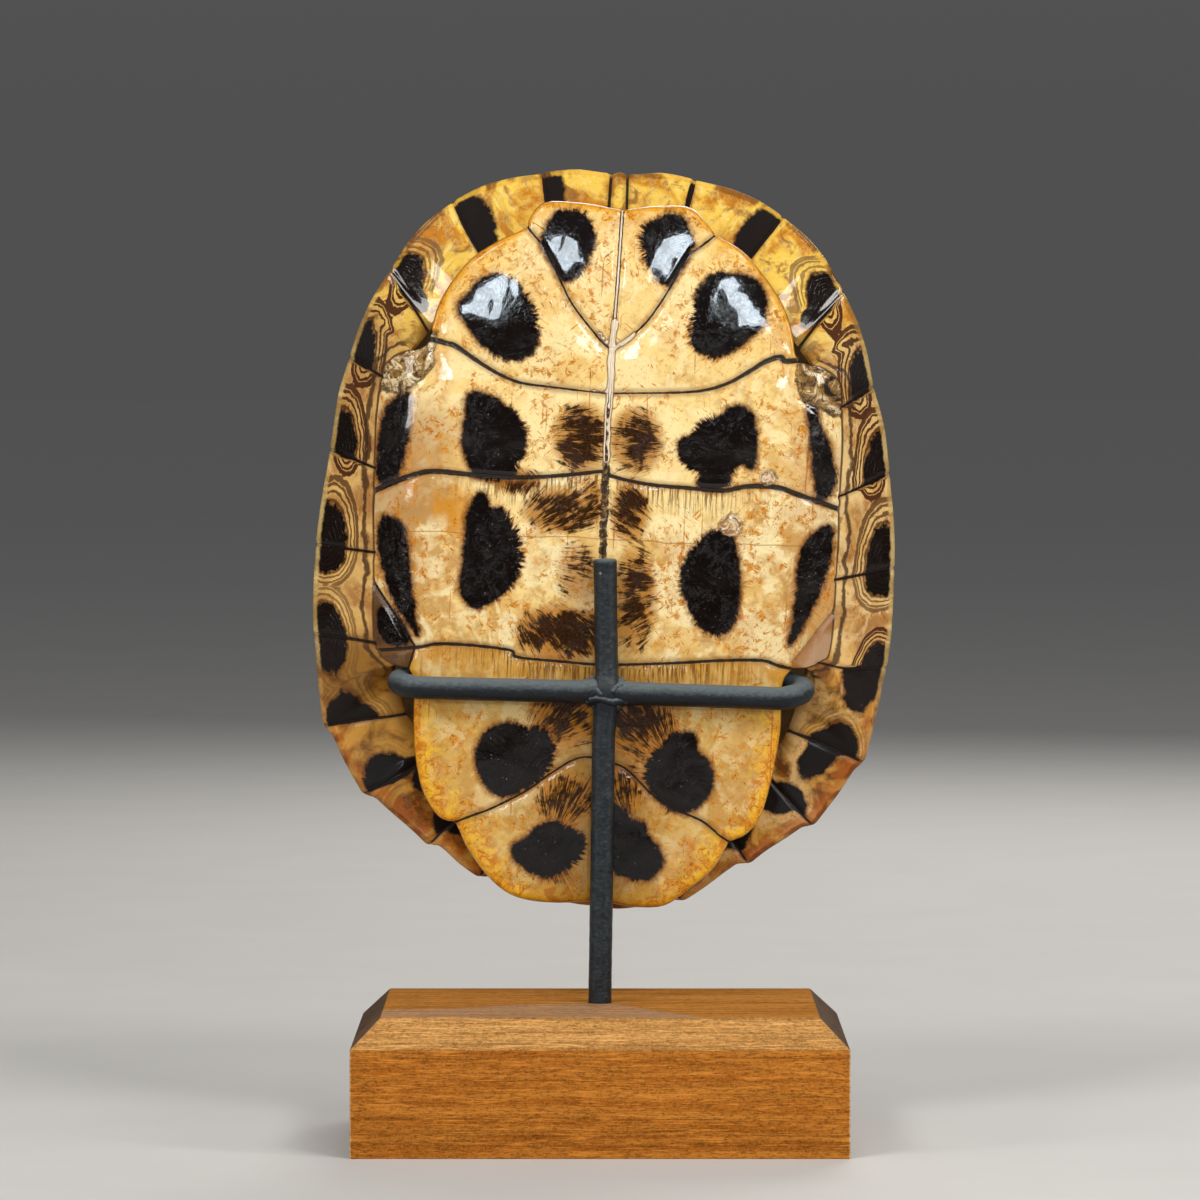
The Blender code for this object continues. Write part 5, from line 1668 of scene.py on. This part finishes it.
# The rod's heights: every millimetre, and closer together where its tip is rounded
TIP_STEPS = np.array([3.0, 2.0, 1.2, 0.9, 0.6, 0.3, 0.1, 0.0])
TIP_START, TIP_ROUND = 159.0, 0.7
WELD_SWELL, WELD_REACH = 0.5, 5.0
rod_z = np.concatenate([np.arange(ROD_FOOT, TIP_START, 1.0), ROD_TOP - TIP_STEPS])
rod_swell = WELD_SWELL * np.exp(-1.5 * ((rod_z - WELD_HEIGHT) / WELD_REACH) ** 2)
rod_radii = ROD_RADIUS + rod_swell + 0.12 * np.exp(-(((rod_z - ROD_TOP + 1.3) / 0.5) ** 2))
tip_drop = np.clip((rod_z - (ROD_TOP - TIP_ROUND)) / TIP_ROUND, 0.0, 1.0)
rod_radii = rod_radii - 0.8 * (1.0 - np.sqrt(1.0 - tip_drop**2))
rod_path = np.stack([rod_x(rod_z), -rod_swell, rod_z], axis=1)
rod = grow("upright_rod_painted", path_mesh("rod_path", [rod_path], [rod_radii]), bars)
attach(rod, "root")
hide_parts("upright_rod")

# The arms end in rounded noses, melted onto the rod a little in front of its middle
NOSE_GAP, NOSE_FRONT, NOSE_RISE, NOSE_ROUND = 0.9, -1.35, 0.35, 2.6
NEAR_ROD = (7.5, -0.45, 0.1)
BEND_POINTS, BAR_STEP = 37, 0.8
weld_x = float(rod_x(WELD_HEIGHT))
for hand, arm in ARMS.items():
    turn = math.copysign(1.0, arm["bend_x"])
    angles = np.linspace(0.0, math.pi, BEND_POINTS)
    bend = np.stack([
        arm["bend_x"] + turn * ARM_BEND_RADIUS * np.sin(angles),
        ARM_BEND_RADIUS * (1.0 - np.cos(angles)),
        arm["front_z"] + (arm["rear_z"] - arm["front_z"]) * angles / math.pi,
    ], axis=1)
    start = (weld_x + turn * NOSE_GAP, NOSE_FRONT, arm["weld_z"] + NOSE_RISE)
    near_rod = (weld_x + turn * NEAR_ROD[0], NEAR_ROD[1], arm["weld_z"] + NEAR_ROD[2])
    end = (arm["end_x"], 2.0 * ARM_BEND_RADIUS, arm["rear_z"] + 0.2)
    path = resample([start, near_rod, *bend, end], BAR_STEP)
    from_nose = np.where(path[:, 1] < 1.0, abs(path[:, 0] - start[0]), FAR)
    lumps = 0.22 * np.sin(from_nose * 1.7 + turn) + 0.12 * np.sin(from_nose * 3.9)
    radii = ROD_RADIUS + (0.25 + lumps) * np.exp(-((from_nose / 6.0) ** 2))
    radii = radii * np.sqrt(np.clip((from_nose + 0.35) / NOSE_ROUND, 0.0, 1.0))
    radii[-1] -= 0.5
    piece = grow(hand + "_arm_painted", path_mesh(hand + "_path", [path], [radii]), bars)
    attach(piece, "root")
    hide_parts(hand + "_hook_arm")


# %% Lay the weld beads
def weld_tree(finish):
    settings = {"Bead radius": 0.00112, "Bead spacing": 0.0006, "Voxel": 0.00022, "Seed": 11}
    tree = new_geometry_tree("weld_beads", settings)
    size = tree.inputs
    curve = tree.node("GeometryNodeMeshToCurve", values=(size["Geometry"],))
    values = {"Curve": curve, "Length": size["Bead spacing"]}
    dots = tree.node("GeometryNodeCurveToPoints", {"mode": "LENGTH"}, values)
    values = {"Radius": size["Bead radius"], "Subdivisions": 3}
    ball = tree.node("GeometryNodeMeshIcoSphere", values=values)
    values = {2: 0.88, 3: 1.14, "Seed": size["Seed"]}
    scale = tree.node("FunctionNodeRandomValue", {"data_type": "FLOAT"}, values, out=1)
    values = {"Points": dots, "Instance": ball, "Scale": scale}
    beads = tree.node("GeometryNodeInstanceOnPoints", values=values)
    beads = tree.node("GeometryNodeRealizeInstances", values=(beads,))
    # The balls melt into one closed skin
    by_size = {"resolution_mode": "VOXEL_SIZE"}
    values = {
        "Mesh": beads, "Density": 1.0, "Voxel Size": size["Voxel"], "Interior Band Width": 0.0006,
    }
    fog = tree.node("GeometryNodeMeshToVolume", by_size, values)
    values = {"Volume": fog, "Voxel Size": size["Voxel"], "Threshold": 0.1}
    skin = tree.node("GeometryNodeVolumeToMesh", by_size, values)
    skin = tree.node("GeometryNodeSetShadeSmooth", values={"Geometry": skin})
    close_tree(tree, skin, [finish])
    return tree


# Each bead is a few points from the weld's middle: one crosses the rod's front, short ones
# thicken the noses' undersides, and the rest close the joint behind
BEADS = [
    [(-5.0, -2.1, -2.3), (-4.2, -2.8, -1.7), (-2.8, -3.2, -1.4), (-0.4, -3.4, -1.9),
     (2.0, -3.1, -2.7)],
    [(2.8, -3.0, -2.3), (4.2, -2.9, -2.0), (5.2, -2.4, -2.3)],
    [(-4.6, -2.9, 1.5), (-2.8, -3.1, 0.8), (-1.8, -3.3, -0.4)],
    [(4.4, -2.6, 2.0), (2.9, -2.9, 1.6), (2.0, -3.2, 0.5)],
    [(-3.2, -0.6, 3.1), (-4.4, -0.8, 2.8)], [(3.2, -0.6, 2.9), (4.4, -0.8, 2.6)],
    [(-3.1, -0.4, -3.2), (-3.0, -0.8, -4.0)], [(3.1, -0.4, -3.4), (3.0, -0.8, -4.2)],
    [(-4.6, 1.6, 2.9), (-3.0, 2.0, 3.8), (-2.9, 2.0, -3.8), (-4.8, 1.6, -2.9)],
    [(4.6, 1.6, 2.9), (3.0, 2.0, 3.8), (2.9, 2.0, -3.8), (4.8, 1.6, -2.9)],
]
BEAD_STEP = 0.5
weld_middle = np.array((weld_x, 0.0, WELD_HEIGHT))
bead_paths = [resample(weld_middle + np.array(bead), BEAD_STEP) for bead in BEADS]
bead_radii = [np.ones(len(path)) for path in bead_paths]
weld = grow("weld_beads", path_mesh("weld_path", bead_paths, bead_radii), weld_tree(steel))
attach(weld, "root")

# %% [markdown]
# ## The block of wood
# The block is sawn along the grain: long fine lines run from end to end, and the sawn end slopes
# are darker. Its faces get separate finishes that share one recipe, and its edges are eased by a
# small bevel so that they catch the light; the upright edges' finish is paler still, a painted
# highlight.

# %% The block's finishes
BASE_SIZE = (137.0, 89.0, 38.0)
BASE_CHAMFER = 8.2
EASED_EDGE = 0.35
DRILL_LENGTH = 0.06
DRILL_WIDER, DRILL_DEEPER = 0.2, 0.3
SHARP_ANGLE = 28.0


def wood_finish(kind, light, deep, speckle, grey, stretch, gloss=0.06):
    """Wood with long grain along X; speckle is for a sawn slope, grey for worn patches."""
    finish = Finish("wood_" + kind, IOR=1.4, Specular_IOR_Level=gloss)
    step, noise, mix, lay = finish.tools()
    place = finish.place()
    x, y = (finish.part(place, axis) for axis in "XY")
    wavy = noise(place, 0.02, 2.0) * 1.5
    long = finish.stretch(place, stretch)
    long = finish.vector("ADD", long, finish.node("ShaderNodeCombineXYZ", values={"Z": wavy}))
    broad = noise(finish.stretch(long, (0.4, 1.0, 1.0)), 0.34, 4.0, 0.7, 0.05)
    hair = noise(finish.stretch(long, (3.0, 1.3, 1.3)), 1.7, 4.0, 0.8)
    dark_lines = step(noise(finish.stretch(long, (0.10, 1.0, 1.0)), 0.62, 4.0, 0.75), 0.54, 0.62)
    shadow = tuple(0.30 * value for value in deep)
    gold = tuple(min(1.0, 1.45 * value) for value in light)
    finish.ground = mix(step(broad, 0.34, 0.66), deep, light)
    # A worn grey band along the front of the top, which tapers to the right
    band_edge = step(x, -52.0, -10.0) * 14.0 - step(x, -2.0, 34.0) * 36.0 - 17.0
    worn = step(y - band_edge + (noise(place, 0.05, 2.0) - 0.5) * 7.0, 1.5, -1.5)
    bare = step(broad * 0.7 + hair * 0.3, 0.36, 0.62) * 0.5 + 0.45
    lay(worn * bare * grey, (0.43, 0.285, 0.185))
    lay(dark_lines * 0.50, shadow)
    lay(step(hair, 0.48, 0.59) * 0.66, shadow)
    shine = step(noise(finish.stretch(long, (0.6, 1.0, 1.0)), 1.3, 3.0, 0.8), 0.54, 0.62)
    lay(shine * 0.55, gold)
    pores = noise(place, 1.3, 3.0, 0.8)
    lay(step(pores, 0.50, 0.64) * speckle, gold)
    lay(step(pores, 0.44, 0.36) * speckle * 0.8, shadow)
    relief = hair * 0.10 + pores * 0.06 * (1.0 + speckle)
    return finish.done(0.40 + hair * 0.18, relief)


LONG_GRAIN = (0.10, 1.0, 1.0)
END_GRAIN = (1.0, 0.5, 1.0)
# Light wood, deep wood, speckle, grey and grain of each kind of face
WOODS = {
    "front": ((0.50, 0.185, 0.026), (0.34, 0.102, 0.011), 0.24, 0.0, LONG_GRAIN),
    "top": ((0.52, 0.225, 0.050), (0.37, 0.140, 0.026), 0.10, 1.0, LONG_GRAIN, 0.0),
    "slope": ((0.62, 0.320, 0.100), (0.45, 0.205, 0.055), 0.30, 0.0, LONG_GRAIN),
    "end": ((0.30, 0.145, 0.045), (0.17, 0.075, 0.022), 0.15, 0.1, END_GRAIN),
    "end_slope": ((0.13, 0.070, 0.034), (0.06, 0.030, 0.014), 0.20, 0.2, END_GRAIN),
    # The upright edges are paler, a painted highlight
    "edge": ((0.66, 0.40, 0.180), (0.50, 0.270, 0.100), 0.20, 0.0, LONG_GRAIN),
}
block_finishes = [wood_finish(kind, *recipe) for kind, recipe in WOODS.items()]

# %% Shape the block
def body_of(form, name):
    """An object of a form that is still being edited; the form is freed."""
    mesh = bpy.data.meshes.new(name)
    form.to_mesh(mesh)
    form.free()
    return add_object(name + "_body", mesh)


block = bmesh.new()
bmesh.ops.create_cube(block, size=1.0)
bmesh.ops.scale(block, vec=BASE_SIZE, verts=block.verts[:])
half_way = BASE_SIZE[2] / 2.0
bmesh.ops.translate(block, vec=(0.0, 0.0, half_way), verts=block.verts[:])
top_edges = [edge for edge in block.edges if min(v.co.z for v in edge.verts) > half_way]
bmesh.ops.bevel(
    block, geom=top_edges, offset=BASE_CHAMFER, offset_type="OFFSET", segments=1, affect="EDGES"
)
bmesh.ops.bevel(
    block, geom=block.edges[:], offset=EASED_EDGE, offset_type="OFFSET", segments=3,
    profile=0.5, affect="EDGES", clamp_overlap=True,
)
bmesh.ops.scale(block, vec=(MM, MM, MM), verts=block.verts[:])
block_body = body_of(block, "block")

# The drill starts a little below the rod's foot, and comes out at the top of the block
drill = bmesh.new()
drill_radius = (ROD_RADIUS + DRILL_WIDER) * MM
drill_foot = (ROD_FOOT - DRILL_DEEPER) * MM
drill_place = (float(rod_x(BASE_SIZE[2])) * MM, 0.0, drill_foot + DRILL_LENGTH / 2.0)
bmesh.ops.create_cone(
    drill, cap_ends=True, segments=40, radius1=drill_radius, radius2=drill_radius,
    depth=DRILL_LENGTH,
)
bmesh.ops.translate(drill, vec=drill_place, verts=drill.verts[:])
drill_body = body_of(drill, "drill")
hole = block_body.modifiers.new("hole", "BOOLEAN")
hole.operation, hole.solver, hole.object = "DIFFERENCE", "EXACT", drill_body
drilled = applied(block_body)
bpy.data.objects.remove(drill_body)

drilled.name = "wooden_block"
drilled.materials.clear()
for finish in block_finishes:
    drilled.materials.append(finish)
kinds = list(WOODS)
for face in drilled.polygons:
    x, y, z = (abs(face.normal.x), abs(face.normal.y), face.normal.z)
    # The faces of the upright eased edges get the pale finish, a painted highlight
    if max(x, y, abs(z)) < 0.985 and min(x, y) > 0.1 and abs(z) < 0.3:
        kind = "edge"
    elif abs(z) > 0.85:
        kind = "top"
    elif z > 0.4:
        kind = "slope" if y > x else "end_slope"
    else:
        kind = "front" if y > x else "end"
    face.material_index = kinds.index(kind)
drilled.shade_smooth()
drilled.set_sharp_from_angle(angle=math.radians(SHARP_ANGLE))
block_piece = add_object("wooden_block", drilled)
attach(block_piece, "root")
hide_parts("wood_base")
print("block faces:", len(drilled.polygons))
